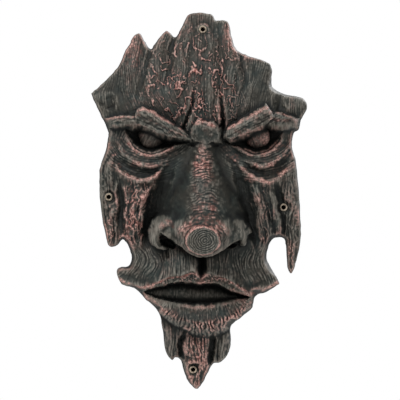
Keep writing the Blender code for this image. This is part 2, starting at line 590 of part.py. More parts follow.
def block_under(name, depths, grid, triangles, smoothing, behind, collection):
    """A closed block from a smoothed and thinned grid at depths(x, z) back to the plane at depth behind."""
    outline = np.asarray(OUTLINE)
    low, high = outline.min(0) - 3 * grid, outline.max(0) + 3 * grid
    columns, rows = np.ceil((high - low) / grid).astype(int)
    made = bmesh.new()
    bmesh.ops.create_grid(made, x_segments=columns, y_segments=rows, size=0.5)
    flat = np.array([vertex.co for vertex in made.verts])
    x = low[0] + (flat[:, 0] + 0.5) * (high[0] - low[0])
    z = low[1] + (flat[:, 1] + 0.5) * (high[1] - low[1])
    for vertex, place in zip(made.verts, placed(x, z, depths(x, z))):
        vertex.co = place
    sheet = bpy.data.meshes.new(name)
    made.to_mesh(sheet)
    made.free()
    obj = new_object(name, sheet, collection)
    if smoothing:
        smooth = obj.modifiers.new("Smooth", "SMOOTH")
        smooth.iterations = smoothing
    thin = obj.modifiers.new("Thin", "DECIMATE")
    thin.ratio = triangles / (2 * columns * rows)
    block = bmesh.new()
    block.from_mesh(evaluated_mesh(obj))
    rim = [edge for edge in block.edges if edge.is_boundary]
    walls = bmesh.ops.extrude_edge_only(block, edges=rim)["geom"]
    for vertex in walls:
        if isinstance(vertex, bmesh.types.BMVert):
            vertex.co.y = -behind * UNIT
    back = [edge for edge in block.edges if edge.is_boundary]
    bmesh.ops.contextual_create(block, geom=back)
    bmesh.ops.triangulate(block, faces=block.faces)
    bmesh.ops.recalc_face_normals(block, faces=block.faces)
    if block.calc_volume(signed=True) < 0:
        bmesh.ops.reverse_faces(block, faces=block.faces)
    solid = bpy.data.meshes.new(name)
    block.to_mesh(solid)
    block.free()
    obj.modifiers.clear()
    obj.data = solid
    return as_cutter(obj)


def silhouette_prism(name, thickness, collection):
    """The silhouette as a filled curve, extruded from the back plane towards the viewer."""
    outline = curve_through(OUTLINE, OUTLINE_STEPS, closed=True)
    points = placed(outline[:, 0], outline[:, 1], np.zeros(len(outline)))
    curve = bpy.data.curves.new(name, "CURVE")
    curve.dimensions = "2D"
    curve.fill_mode = "BOTH"
    curve.extrude = thickness / 2
    spline = curve.splines.new("POLY")
    spline.points.add(len(points) - 1)
    for point, place in zip(spline.points, points):
        point.co = (place[0], place[2], 0, 1)
    spline.use_cyclic_u = True
    shape = new_object(name + "_curve", curve, collection)
    mesh = evaluated_mesh(shape)
    bpy.data.objects.remove(shape)
    upright = Matrix.Translation((0, -thickness / 2, 0)) @ Matrix.Rotation(np.pi / 2, 4, "X")
    mesh.transform(upright)
    closed = bmesh.new()
    closed.from_mesh(mesh)
    bmesh.ops.remove_doubles(closed, verts=closed.verts, dist=1e-6)
    bmesh.ops.recalc_face_normals(closed, faces=closed.faces)
    closed.to_mesh(mesh)
    closed.free()
    return new_object(name, mesh, collection)


def round_bar(name, diameter, hole_x, hole_z, near, far, collection):
    """A bar along the depth from near to far, centred on a screw hole."""
    made = bmesh.new()
    bmesh.ops.create_cone(
        made, cap_ends=True, segments=ROUND_SIDES, radius1=diameter / 2, radius2=diameter / 2, depth=far - near
    )
    mesh = bpy.data.meshes.new(name)
    made.to_mesh(mesh)
    made.free()
    obj = new_object(name, mesh, collection)
    obj.rotation_euler = (np.pi / 2, 0, 0)
    place = placed(hole_x, hole_z, 0.0)
    obj.location = (place[0], -(near + far) / 2, place[2])
    return as_cutter(obj)


def combine(obj, operation, other):
    joined = obj.modifiers.new(operation.title() + " " + other.name, "BOOLEAN")
    joined.operation = operation
    joined.object = other


def resin_material():
    """Cast resin, painted dark bark brown and dry-brushed with copper on its ridges."""
    material = bpy.data.materials.new("painted_resin")
    material.use_nodes = True
    shader = material.node_tree.nodes["Principled BSDF"]
    shader.inputs["Base Color"].default_value = FACE_COLOUR
    shader.inputs["Roughness"].default_value = 0.62
    shader.inputs["Metallic"].default_value = 0.0
    material.diffuse_color = FACE_COLOUR
    return material


def main():
    for obj in list(bpy.data.objects):
        bpy.data.objects.remove(obj)
    part = bpy.data.collections.new("tree_face_sculpture")
    cutters = bpy.data.collections.new("cutters")
    for collection in (part, cutters):
        bpy.context.scene.collection.children.link(collection)
    face = silhouette_prism("tree_face", thickness=PRISM_DEPTH * UNIT, collection=part)
    front = block_under("carved_front", relief, FRONT_GRID, FRONT_TRIANGLES, 0, FRONT_BEHIND, cutters)
    back = block_under(
        "hollow_back", hollow, HOLLOW_GRID, HOLLOW_TRIANGLES, HOLLOW_SMOOTHING, HOLLOW_BEHIND, cutters
    )
    combine(face, "INTERSECT", front)
    combine(face, "DIFFERENCE", back)
    for name, hole_x, hole_z, seat in SCREW_HOLES:
        seat_depth = seat * UNIT
        sunk, proud, past = seat_depth - BAR_OVERLAP, seat_depth + EYELET_RISE, seat_depth + BAR_PAST
        eyelet = round_bar("eyelet_" + name, EYELET_DIAMETER, hole_x, hole_z, sunk, proud, cutters)
        hole = round_bar("screw_hole_" + name, SCREW_HOLE, hole_x, hole_z, HOLE_START, past, cutters)
        combine(face, "UNION", eyelet)
        combine(face, "DIFFERENCE", hole)
    face.data.materials.append(resin_material())


main()
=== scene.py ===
import math

import bmesh
import bpy
import numpy as np
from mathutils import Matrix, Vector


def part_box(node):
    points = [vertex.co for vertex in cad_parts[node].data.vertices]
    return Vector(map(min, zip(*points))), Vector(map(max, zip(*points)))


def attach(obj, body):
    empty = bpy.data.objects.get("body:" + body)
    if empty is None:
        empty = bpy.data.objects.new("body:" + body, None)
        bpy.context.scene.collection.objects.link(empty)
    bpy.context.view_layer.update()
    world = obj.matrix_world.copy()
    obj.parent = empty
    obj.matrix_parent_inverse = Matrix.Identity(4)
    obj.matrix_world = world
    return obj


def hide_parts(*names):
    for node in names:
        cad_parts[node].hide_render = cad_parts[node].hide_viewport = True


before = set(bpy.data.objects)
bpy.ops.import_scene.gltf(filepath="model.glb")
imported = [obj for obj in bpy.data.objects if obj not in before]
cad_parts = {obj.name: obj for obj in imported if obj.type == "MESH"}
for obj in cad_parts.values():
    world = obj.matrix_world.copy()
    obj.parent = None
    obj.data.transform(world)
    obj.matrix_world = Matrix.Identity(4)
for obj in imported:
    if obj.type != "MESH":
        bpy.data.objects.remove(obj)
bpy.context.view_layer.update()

# The tree face is one hollow-backed casting in filled polyresin, poured in a rubber mould from a carved
# master. It hangs on four screws through rings cast in with it. Its carving is drawn here in millimetres on
# a 375 mm face: x to the viewer's right, z up from the middle, and depth out from the flat back.

face_low, face_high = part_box("tree_face")
DRAWN_HEIGHT = 375.0
UNIT = (face_high[2] - face_low[2]) / DRAWN_HEIGHT
FACE_LEFT = -108.14
FACE_RIGHT = 109.0
FACE_FOOT = -188.3
FACE_TOP = 189.0
GRID = 0.62

# Hollow back: the wall, the flat land inside the silhouette and round the screws, and the hollow's slope
WALL = 7.0
BACK_LAND = 12.0
PAD_RADIUS = 8.5
HANGING_PAD_RADIUS = 17.0
HOLLOW_SLOPE = 2.2
BORE_RADIUS = 3.0

# Rim: its depth at the silhouette, the radius it rounds up by, and its slope from there
RIM_DEPTH = 5.0
RIM_ROUND = 9.0
RIM_SLOPE = 3.2

# The nose droops by this share of what stands past this depth
DROOP_FROM = 45.0
DROOP = 0.15

# Share of the triangles that is left when the back alone is thinned, and how many the whole is left with
BACK_SHARE = 0.53
FACE_TRIANGLES = 194000

# Silhouette, anticlockwise as the viewer sees it, from the top of the crown: x, z
OUTLINE = (
    # Crown, from its top down to the left tip
    (-6, 186.6), (-13, 183), (-18.5, 172), (-24.4, 162.5), (-29.5, 166.5), (-33.5, 168.5), (-37.5, 165.5),
    (-44.3, 156.4), (-48.8, 150.7), (-54, 156), (-58.5, 164.3), (-62, 166), (-66.5, 163), (-70, 156),
    (-74, 149.5), (-82.5, 131.9), (-95, 118.5), (-106.4, 107.6), (-107.6, 104.2),
    # Left side, down to the upper lip's left corner
    (-101.2, 89.5), (-92, 70), (-91.4, 63), (-94.3, 48.6), (-99.5, 32.9), (-100.2, 10.5), (-98.1, -14.4),
    (-93, -40), (-90.5, -45.8), (-84, -46), (-78.5, -40), (-75.5, -39.8), (-71, -47), (-68.2, -57.5),
    (-71.5, -65.8), (-81, -67.6), (-83, -73), (-77.8, -83.6), (-66.2, -87.6),
    # Left jaw and the beard
    (-57, -95.4), (-44.4, -106.9), (-39.5, -114.5), (-37, -131), (-34.6, -150), (-28.4, -159.6),
    (-24.5, -157), (-19, -160), (-15, -174), (-8.5, -184.8), (-3.7, -188.3), (1, -184.6), (7.5, -173),
    (12.7, -163.5), (20.5, -161.8), (27, -154.5), (30.7, -142), (30.5, -125.5),
    # Right jaw, the notch in the cheek and the strand that hangs beside it
    (40.5, -116), (51, -107.5), (54.5, -96), (66, -91.5), (76, -85.5), (78.2, -80.7), (70, -66.5),
    (66.5, -57.5), (68.5, -45.5), (74.5, -37.8), (84, -38.8), (86.3, -50), (87.2, -65.6), (90.6, -72.9),
    (94.3, -66),
    # Right side, up to the crown
    (99.4, -46.5), (100.5, -30), (98.7, 7), (95.5, 38), (91.8, 53.5), (93.4, 66.2), (98.6, 70.6),
    (100.6, 80), (106.6, 92.5), (102.5, 101.4), (85.4, 105.4), (73.4, 111.5), (71.3, 119), (71.5, 131.5),
    (66, 138), (47.9, 143.8), (36, 150.5), (31.8, 161.6), (28.3, 176.3), (22.9, 179.5), (15.8, 179),
    (10.5, 185.2),
)

# Broad form of the mask under its features: x, z, depth
BROAD_FORM = (
    # Crown and forehead
    (0, 185, 13), (-33, 166, 12), (-62, 164, 12), (-106, 105, 12), (27, 176, 12), (70, 132, 12),
    (105, 95, 13), (-60, 145, 18), (-28, 148, 22), (2, 150, 26), (30, 148, 19), (-88, 118, 17),
    (-60, 118, 28), (-30, 118, 35), (0, 118, 38), (32, 118, 34), (62, 118, 23), (-98, 90, 17),
    (-66, 90, 34), (-34, 92, 41), (0, 88, 44), (36, 92, 41), (68, 90, 33), (98, 90, 18),
    # Eye line
    (-88, 60, 19), (-72, 58, 26), (-48, 60, 31), (-20, 58, 33), (0, 60, 42), (22, 58, 33), (54, 60, 31),
    (76, 58, 26), (88, 60, 18),
    # Cheeks
    (-95, 30, 17), (-76, 30, 30), (-50, 30, 38), (-26, 30, 36), (0, 30, 48), (28, 30, 36), (56, 28, 38),
    (78, 30, 30), (92, 30, 18), (-95, 0, 16), (-76, 0, 27), (-56, 0, 39), (-36, 0, 32), (0, 0, 48),
    (38, 0, 31), (60, 0, 38), (80, 0, 26), (95, 0, 16), (-89, -35, 15), (-66, -30, 31), (-50, -30, 33),
    (0, -30, 46), (50, -28, 31), (68, -30, 28), (92, -35, 15), (91, -62, 12),
    # Upper lip and mouth
    (-66, -57, 24), (-40, -58, 40), (0, -58, 45), (40, -58, 40), (64, -57, 25),
    (-78, -76, 17), (-46, -80, 42), (0, -80, 50), (45, -82, 42), (73, -80, 20),
    (-56, -94, 24), (-44, -100, 32), (0, -98, 44), (45, -100, 32), (52, -100, 24),
    # Chin and beard
    (-36, -118, 26), (0, -118, 46), (34, -118, 28), (-34, -142, 17), (0, -142, 32), (28, -142, 18),
    (-26, -156, 14), (-8, -165, 24), (6, -165, 22), (22, -156, 14), (-4, -185, 13),
)

# Edges of the mouth and the nose, from the viewer's left to right. The lips' own lines are x, z and x, depth
UPPER_LIP_EDGE = (
    (-84, -76), (-81, -79), (-68.5, -84), (-59.3, -87.4), (-52.4, -85.7), (-41, -80.5), (-30.6, -74.8),
    (-19.2, -73), (-11.1, -70.2), (-7.1, -68.8), (1.5, -74.2), (8.4, -70.2), (15.3, -73), (23.3, -74.8),
    (34.8, -81.7), (44, -89.7), (49.7, -92.6), (60, -90.8), (69.2, -86.3), (80, -79.5),
)
UPPER_LIP_DEPTH = (
    (-84, 18), (-68, 28), (-59, 35), (-50, 44), (-41, 51), (-30, 57), (-18, 61), (-7, 63), (2, 60), (9, 63),
    (20, 61), (31, 57), (42, 50), (50, 43), (60, 35), (70, 28), (80, 19),
)
MOUTH_TOP = (
    (-55, -90), (-42, -87.4), (-32, -85.1), (-20, -83.4), (-9, -84), (1.5, -85.1), (12, -84.5), (20, -86.3),
    (29, -90.8), (39, -94.3), (46, -96),
)
MOUTH_BOTTOM = (
    (-66, -87), (-55, -91), (-40, -97.7), (-28, -101.2), (-16, -103), (0, -104), (15, -103), (29, -100),
    (42, -97), (52, -95), (66, -90),
)
LOWER_LIP_FOOT = (
    (-66, -89), (-57, -96.5), (-45, -107), (-35, -115), (-23, -123), (-10, -129), (5, -132), (20, -129),
    (33, -121), (45, -113), (52, -106), (58, -97), (66, -92),
)
LOWER_LIP_DEPTH = (
    (-66, 20), (-57, 32), (-45, 44), (-30, 53), (-12, 58), (5, 60), (22, 58), (36, 52), (48, 43), (58, 31),
    (66, 20),
)
NOSE_FOOT = (
    (-60, -14), (-46, -21), (-40, -28), (-28, -37.5), (-18, -42), (-10, -48), (-4, -50.6), (3, -51.4),
    (10, -50.6), (19, -45.5), (32, -41), (42, -36), (50, -32), (60, -28),
)

# Screw holes: name, x, z, depth of the flat seat round the eyelet
SCREW_HOLES = (
    ("top", 2.8, 169.2, 20.0),
    ("left", -90.6, 3.0, 15.5),
    ("right", 83.0, -7.3, 19.0),
    ("bottom", -6.8, -168.0, 23.0),
)

# Where the lips stand out over the silhouette, so that the rim is deeper there: x, z, radius, rise
DEEP_RIMS = (
    (-46, -105, 20, 15), (-36, -118, 14, 12), (47, -107, 20, 18), (30, -121, 17, 16), (-76, -78, 12, 5),
    (74, -82, 12, 5),
)


def smooth_step(low, high, value):
    """0 below low, 1 above high, and an S between: 3 t^2 - 2 t^3, where t is the share of the way."""
    share = np.clip((value - low) / (high - low), 0, 1)
    return share * share * (3 - 2 * share)


def smooth_max(a, b, radius):
    """The larger of two depths. Where they differ by less than the radius, a parabola fillets the corner."""
    corner = np.clip(1 - np.abs(a - b) / radius, 0, 1)
    return np.maximum(a, b) + corner * corner * radius / 4


def smooth_min(a, b, radius):
    """The smaller of two depths, with the corner between them rounded off."""
    return -smooth_max(-a, -b, radius)


def curve_through(points, steps=4, closed=False):
    """A Catmull-Rom curve through rows of numbers: a cubic in t for each span, at steps points."""
    rows = np.asarray(points, float)
    if closed:
        padded = np.vstack([rows[-1:], rows, rows[:2]])
    else:
        padded = np.vstack([2 * rows[0] - rows[1], rows, 2 * rows[-1] - rows[-2]])
    t = (np.arange(steps) / steps)[:, None, None]
    before, start, end, after = padded[:-3], padded[1:-2], padded[2:-1], padded[3:]
    slope = end - before
    bend = 2 * before - 5 * start + 4 * end - after
    twist = 3 * (start - end) - before + after
    curve = (start + 0.5 * (slope * t + bend * t**2 + twist * t**3)).transpose(1, 0, 2)
    curve = curve.reshape(-1, rows.shape[1])
    return curve if closed else np.vstack([curve, rows[-1:]])


def along(rows, x):
    """Reads a smooth curve through rows of x, value at each x."""
    curve = curve_through(rows)
    return np.interp(x, curve[:, 0], curve[:, 1])


def nearest(line, x, z):
    """Distance from each point to a polyline, and the polyline's further values at the nearest place.

    Its rows are x, z and the further values, which run evenly from one row to the next.
    """
    best = np.full(x.shape, 1e6)
    values = np.zeros(x.shape + (line.shape[1] - 2,))
    for start, end in zip(line[:-1], line[1:]):
        run_x, run_z = end[0] - start[0], end[1] - start[1]
        length = max(run_x * run_x + run_z * run_z, 1e-9)
        share = np.clip(((x - start[0]) * run_x + (z - start[1]) * run_z) / length, 0, 1)
        distance = np.hypot(x - start[0] - share * run_x, z - start[1] - share * run_z)
        closer = distance < best
        best = np.where(closer, distance, best)
        here = start[2:] + share[..., None] * (end[2:] - start[2:])
        values = np.where(closer[..., None], here, values)
    return best, values


def near_line(line, x, z, margin):
    """Which points lie in the line's box, grown by margin."""
    low, high = line[:, :2].min(0) - margin, line[:, :2].max(0) + margin
    return (x > low[0]) & (x < high[0]) & (z > low[1]) & (z < high[1])


def strand(depth, x, z, points):
    """Adds a strand that tapers away at both ends: rows are x, z, half width, rise.

    It stands by rise times (1 - t^2)^1.5, where t is the distance from its line over the half width. A split
    has a negative rise.
    """
    line = curve_through(points)
    share = np.linspace(0, 1, len(line))
    taper = smooth_step(0, 0.25, share) * smooth_step(0, 0.25, 1 - share)
    line[:, 3] *= taper
    line[:, 2] *= 0.45 + 0.55 * taper
    near = near_line(line, x, z, line[:, 2].max())
    distance, values = nearest(line, x[near], z[near])
    depth = depth.copy()
    depth[near] += values[:, 1] * np.clip(1 - (distance / values[:, 0]) ** 2, 0, 1) ** 1.5
    return depth


def log(depth, x, z, points, drop, power=2.5, fillet=4.0):
    """Lays a rounded log: rows are x, z, half width, crest depth.

    It falls from its crest by drop times t^power, where t is the distance from its line over the half width.
    """
    line = curve_through(points)
    near = near_line(line, x, z, 2.2 * line[:, 2].max())
    distance, values = nearest(line, x[near], z[near])
    crest = values[:, 1] - drop * (distance / values[:, 0]) ** power
    depth = depth.copy()
    depth[near] = smooth_max(depth[near], crest, fillet)
    return depth


def trough(depth, x, z, points, rise, power=3.0, fillet=3.0):
    """Scoops a trough: rows are x, z, half width, floor depth.

    It climbs from its floor by rise times t^power, where t is the distance from its line over the half width.
    """
    line = curve_through(points)
    near = near_line(line, x, z, 2.2 * line[:, 2].max())
    distance, values = nearest(line, x[near], z[near])
    floor = values[:, 1] + rise * (distance / values[:, 0]) ** power
    depth = depth.copy()
    depth[near] = smooth_min(depth[near], floor, fillet)
    return depth


def lapped(depth, x, z, points, centre):
    """Adds a lapped fold round a centre: rows are x, z, width on the centre's side, width beyond, rise.

    The rise fades along an S over the width on each side of the line.
    """
    line = curve_through(points)
    share = np.linspace(0, 1, len(line))
    line[:, 4] *= smooth_step(0, 0.2, share) * smooth_step(0, 0.2, 1 - share)
    near = near_line(line, x, z, line[:, 2:4].max())
    near_x, near_z = x[near], z[near]
    distance, values = nearest(np.hstack([line, line[:, :2]]), near_x, near_z)
    foot_out = np.hypot(values[:, 3] - centre[0], values[:, 4] - centre[1])
    beyond = np.hypot(near_x - centre[0], near_z - centre[1]) > foot_out
    width = np.where(beyond, values[:, 1], values[:, 0])
    depth = depth.copy()
    depth[near] += values[:, 2] * smooth_step(1, 0, distance / width)
    return depth


def thin_plate(stations, x, z):
    """The smoothest sheet through rows of x, z, depth: a thin-plate spline.

    It is a plane and a sum of r^2 log r^2 about each row, with weights that make it meet every row.
    """
    rows = np.asarray(stations, float)
    count = len(rows)

    def kernel(squared):
        return squared * np.log(squared + 1e-9)

    apart = (rows[:, None, 0] - rows[None, :, 0]) ** 2 + (rows[:, None, 1] - rows[None, :, 1]) ** 2
    equations = np.zeros((count + 3, count + 3))
    equations[:count, :count] = kernel(apart)
    equations[:count, count:] = np.column_stack([np.ones(count), rows[:, :2]])
    equations[count:, :count] = equations[:count, count:].T
    weights = np.linalg.solve(equations, np.append(rows[:, 2], np.zeros(3)))
    sheet = weights[count] + weights[count + 1] * x + weights[count + 2] * z
    for (station_x, station_z, _), weight in zip(rows, weights):
        sheet = sheet + weight * kernel((x - station_x) ** 2 + (z - station_z) ** 2)
    return sheet


def wandered(x, z):
    """x with the slow wander of wood grain, for the features that follow the bark: two sines of x and z."""
    return x + 1.1 * np.sin(z / 9.1 + x / 13) + 0.6 * np.sin(z / 4.3 - x / 8 + 1.7)


def forehead(depth, x, z):
    """Bark ridges that run down from the crown's tips, and the splits between them, all as strands."""
    x = wandered(x, z)
    ridges = (
        [(-61, 166, 7, 3), (-66, 146, 9, 4), (-72, 120, 10, 3), (-75, 96, 9, 2)],
        [(-34, 170, 6, 3), (-41, 145, 8, 3), (-47, 122, 9, 3), (-50, 98, 8, 2)],
        [(-12, 188, 9, 3), (-15, 160, 9, 3), (-20, 128, 9, 3), (-27, 92, 7, 2)],
        [(9, 178, 6, 3), (11, 148, 8, 2), (12, 118, 8, 3), (7, 84, 6, 3)],
        [(24, 182, 6, 3), (28, 154, 8, 3), (33, 126, 8, 2), (30, 94, 6, 2)],
        [(66, 140, 9, 3), (60, 122, 9, 3), (50, 100, 8, 2)],
        [(106, 98, 9, 4), (93, 93, 9, 4), (80, 84, 8, 3)],
        [(-109, 104, 8, 4), (-94, 102, 9, 4), (-80, 90, 8, 3)],
    )
    splits = (
        [(-49, 160, 4, -4), (-53, 136, 4, -2), (-59, 112, 4, -2), (-63, 92, 3, -2)],
        [(-25, 172, 4, -5), (-28, 148, 4, -3), (-32, 126, 3, -2), (-37, 104, 3, -2)],
        [(-4, 118, 3, -2), (-7, 98, 3, -4), (-11, 82, 3, -5), (-14, 72, 3, -6), (-17, 64, 2, -4)],
        [(20, 122, 3, -2), (21, 100, 3, -4), (21, 84, 3, -7), (21.5, 72, 3.5, -12), (22, 60, 3.5, -12)],
        [(36, 162, 3, -4), (41, 138, 4, -2), (44, 116, 4, -2), (38, 90, 3, -2)],
        [(76, 120, 5, -3), (77, 100, 6, -4), (83, 80, 5, -4)],
        [(-92, 106, 6, -3), (-86, 88, 6, -4)],
    )
    for points in ridges + splits:
        depth = strand(depth, x, z, points)
    return depth


def eyes(depth, x, z):
    """Sunken sockets with their eyeballs and lower lids. The brows come after them and overhang them.

    The sockets are troughs, the eyeballs are parts of spheres, and the lids are lapped folds.
    """
    left_socket = [
        (-12, 58, 3, 30), (-28, 60, 8, 18), (-46, 61.5, 14, 12), (-60, 64, 12, 14), (-70, 68, 6, 22),
    ]
    right_socket = [
        (26, 58, 3, 30), (38, 59, 8, 18), (55, 61.5, 14, 12), (69, 64, 12, 14), (80, 68, 6, 22),
    ]
    for socket in (left_socket, right_socket):
        depth = trough(depth, x, z, socket, rise=18, fillet=4)
    for centre_x, centre_z, radius in ((-48, 64, 13), (57, 63, 12.5)):
        apart = np.hypot(x - centre_x, z - centre_z)
        ball = 30 - radius + np.sqrt(np.clip(radius**2 - apart**2, 0, None))
        depth = np.where(apart < radius, np.maximum(depth, ball), depth)
    left_lid = [
        (-75, 74, 2, 5, 2), (-72.5, 62, 2, 7, 3.5), (-66, 52, 2, 8, 4.5), (-56, 45.5, 2, 8, 5),
        (-45, 44.5, 2, 7, 5), (-35, 47.5, 2, 6, 5), (-25, 53, 2, 5, 4.5), (-14, 54, 2, 4, 3),
    ]
    right_lid = [
        (24, 55, 2, 4, 3), (35, 53, 2, 5, 4.5), (45, 47, 2, 6, 5), (54, 44, 2, 7, 5), (65, 46, 2, 8, 5),
        (74, 51.5, 2, 8, 4.5), (81, 61, 2, 7, 3.5), (84, 73, 2, 5, 2),
    ]
    depth = lapped(depth, x, z, left_lid, (-47, 64))
    return lapped(depth, x, z, right_lid, (56, 64))


def beam(depth, x, z, upper, lower, crest, steep=4.0):
    """A split beam: rows are x, z of its upper and lower edges, and x, depth of its ridge under the top.

    Past its edges it falls by steep for each millimetre.
    """
    top, bottom = np.interp(x, *np.transpose(upper)), np.interp(x, *np.transpose(lower))
    below = top - z
    face = along(crest, x) - 0.8 * np.clip(4 - below, 0, None) - 0.3 * np.clip(below - 4, 0, None)
    left, right = min(upper[0][0], lower[0][0]), max(upper[-1][0], lower[-1][0])
    out = np.maximum.reduce([-below, bottom - z, left - x, x - right])
    return smooth_max(depth, face - steep * np.clip(out, 0, None), 2)


def brows(depth, x, z):
    """A gnarled limb over the left eye, a split plank over the right one, and a knot between them.

    They are beams, and the right one's outer end is a log. A split runs under the knot.
    """
    depth = beam(
        depth, x, z,
        upper=[(-97, 78), (-94, 81), (-81, 82.5), (-63.5, 81.5), (-61.5, 88.5), (-57, 90.6), (-47, 87),
               (-35, 79), (-18, 69), (-9, 62)],
        lower=[(-97, 75), (-91, 74), (-78, 72.5), (-71, 73.5), (-58, 74), (-45, 68), (-30, 64),
               (-14, 60), (-9, 58)],
        crest=[(-97, 22), (-82, 38), (-68, 46), (-56, 53), (-40, 56), (-26, 54), (-12, 47), (-6, 44)],
    )
    outer_limb = [(66, 80, 8, 46), (78, 78, 9, 44), (88, 77, 8, 36), (98, 76, 6, 25)]
    depth = log(depth, x, z, outer_limb, drop=14, power=3, fillet=4)
    depth = beam(
        depth, x, z,
        upper=[(24.5, 64), (26.4, 69.8), (65.5, 92.4), (72, 83)],
        lower=[(24.5, 63), (30, 60), (55.6, 71), (64, 75), (72, 82)],
        crest=[(20, 49), (36, 55), (54, 58), (74, 52)],
    )
    depth = beam(
        depth, x, z,
        upper=[(-8.7, 70), (-8.2, 72), (-1.9, 79.3), (5, 77), (12.8, 76), (18, 71.2), (18.3, 69)],
        lower=[(-8.7, 60), (-3, 57.5), (6, 56.5), (14, 57), (18.3, 58.5)],
        crest=[(-12, 46), (-2, 52), (11, 53), (20, 47)],
        steep=2.5,
    )
    return strand(depth, x, z, [(-14, 55, 2.5, -4), (4, 53.5, 2.8, -4), (22, 55.5, 2.5, -4)])


def eye_bags(depth, x, z):
    """A cushion under each lid that laps over a deep fold, and a raised rim under that.

    The cushions and rims are lapped folds, and the deep folds are strands that cut in.
    """
    left, right = (-47, 66), (57, 66)
    cushions = (
        ([(-86, 62, 5, 3, 1.5), (-80, 51, 7, 3, 3), (-72, 42, 8, 3.5, 4), (-63, 37, 9, 3.5, 4.5),
          (-54, 33.5, 9, 3.5, 4.5), (-44, 33.5, 8, 3.5, 4), (-34, 39, 5, 3, 2)], left),
        ([(93, 60, 5, 3, 1.5), (86, 50, 7, 3, 3), (77, 41, 8, 3.5, 4), (68, 35, 9, 3.5, 4.5),
          (59, 33, 9, 3.5, 4.5), (50, 35, 8, 3.5, 4), (42, 41, 5, 3, 2)], right),
    )
    for points, centre in cushions:
        depth = lapped(depth, x, z, points, centre)
    folds = (
        [(-86, 46, 5, -2), (-80, 38, 6, -4), (-71, 30.5, 7, -5), (-60, 26.5, 7, -5.5), (-50, 27, 6, -5),
         (-41, 31, 5, -3), (-33, 38, 4, -2)],
        [(91, 46, 5, -2), (84, 38, 6, -4), (75, 30, 7, -5), (65, 26, 7, -5.5), (55, 28, 6, -5),
         (46, 34, 5, -3), (39, 41, 4, -2)],
    )
    for points in folds:
        depth = strand(depth, x, z, points)
    rims = (
        ([(-90, 42, 4, 6, 2), (-84, 32, 5, 8, 4), (-74, 24.5, 5, 9, 5), (-63, 20.5, 5, 9, 5),
          (-53, 20, 5, 8, 5), (-44, 23.5, 4, 7, 4.5), (-34, 32, 4, 6, 2)], left),
        ([(95, 42, 4, 6, 2), (88, 31, 5, 8, 4), (79, 22, 5, 9, 5), (69, 17.5, 5, 9, 5), (59, 18.5, 5, 8, 5),
          (50, 24.5, 4, 7, 4.5), (41, 33, 4, 6, 2)], right),
    )
    for points, centre in rims:
        depth = lapped(depth, x, z, points, centre)
    return depth


def cheeks(depth, x, z):
    """Gnarled strands down each cheek, splits between them, and a trough for the valley beside the nose."""
    x = wandered(x, z)
    left_valley = [
        (-24, 42, 6, 35), (-33, 24, 9, 30), (-42, 2, 10, 25), (-48, -20, 10, 22), (-53, -38, 8, 25),
        (-58, -54, 4, 32),
    ]
    right_valley = [
        (30, 42, 6, 35), (38, 22, 8, 30), (45, 0, 9, 25), (50, -22, 9, 22), (54, -38, 7, 25),
        (58, -54, 4, 32),
    ]
    for valley in (left_valley, right_valley):
        depth = trough(depth, x, z, valley, rise=12, power=2.5, fillet=5)
    strands = (
        [(-59, 20, 5, 4), (-60, 4, 7, 6), (-66, -12, 6, 7), (-67, -28, 7, 6), (-74, -46, 5, 5)],
        [(-49, 16, 4, 3), (-54, 4, 6, 5), (-55, -8, 5, 6), (-60, -22, 6, 5), (-64, -42, 5, 5)],
        [(-88, 46, 4, 4), (-90, 28, 5, 5), (-87, 12, 4, 4)],
        [(-86, -6, 5, 5), (-90, -22, 5, 5), (-88, -46, 5, 5)],
        [(51, 16, 5, 4), (57, 2, 6, 6), (62, -14, 5, 7), (68, -30, 6, 6), (69, -46, 5, 5)],
        [(48, 12, 4, 3), (53, 0, 5, 5), (58, -14, 5, 5), (61, -30, 5, 5), (64, -48, 5, 5)],
        [(70, 14, 4, 4), (72, -2, 5, 6), (77, -22, 5, 6), (79, -40, 4, 5)],
        [(90, 44, 6, 3), (90, 20, 8, 5), (92, -8, 8, 5), (95, -34, 7, 5), (94, -56, 5, 4), (91, -76, 4, 3)],
        [(-79, 22, 4, -4), (-77, 4, 5, -6), (-79, -16, 5, -7), (-78, -44, 5, -6)],
        [(74, 24, 4, -4), (79, 6, 5, -6), (80, -10, 4, -6), (84, -44, 4, -6)],
    )
    for points in strands:
        depth = strand(depth, x, z, points)
    return depth


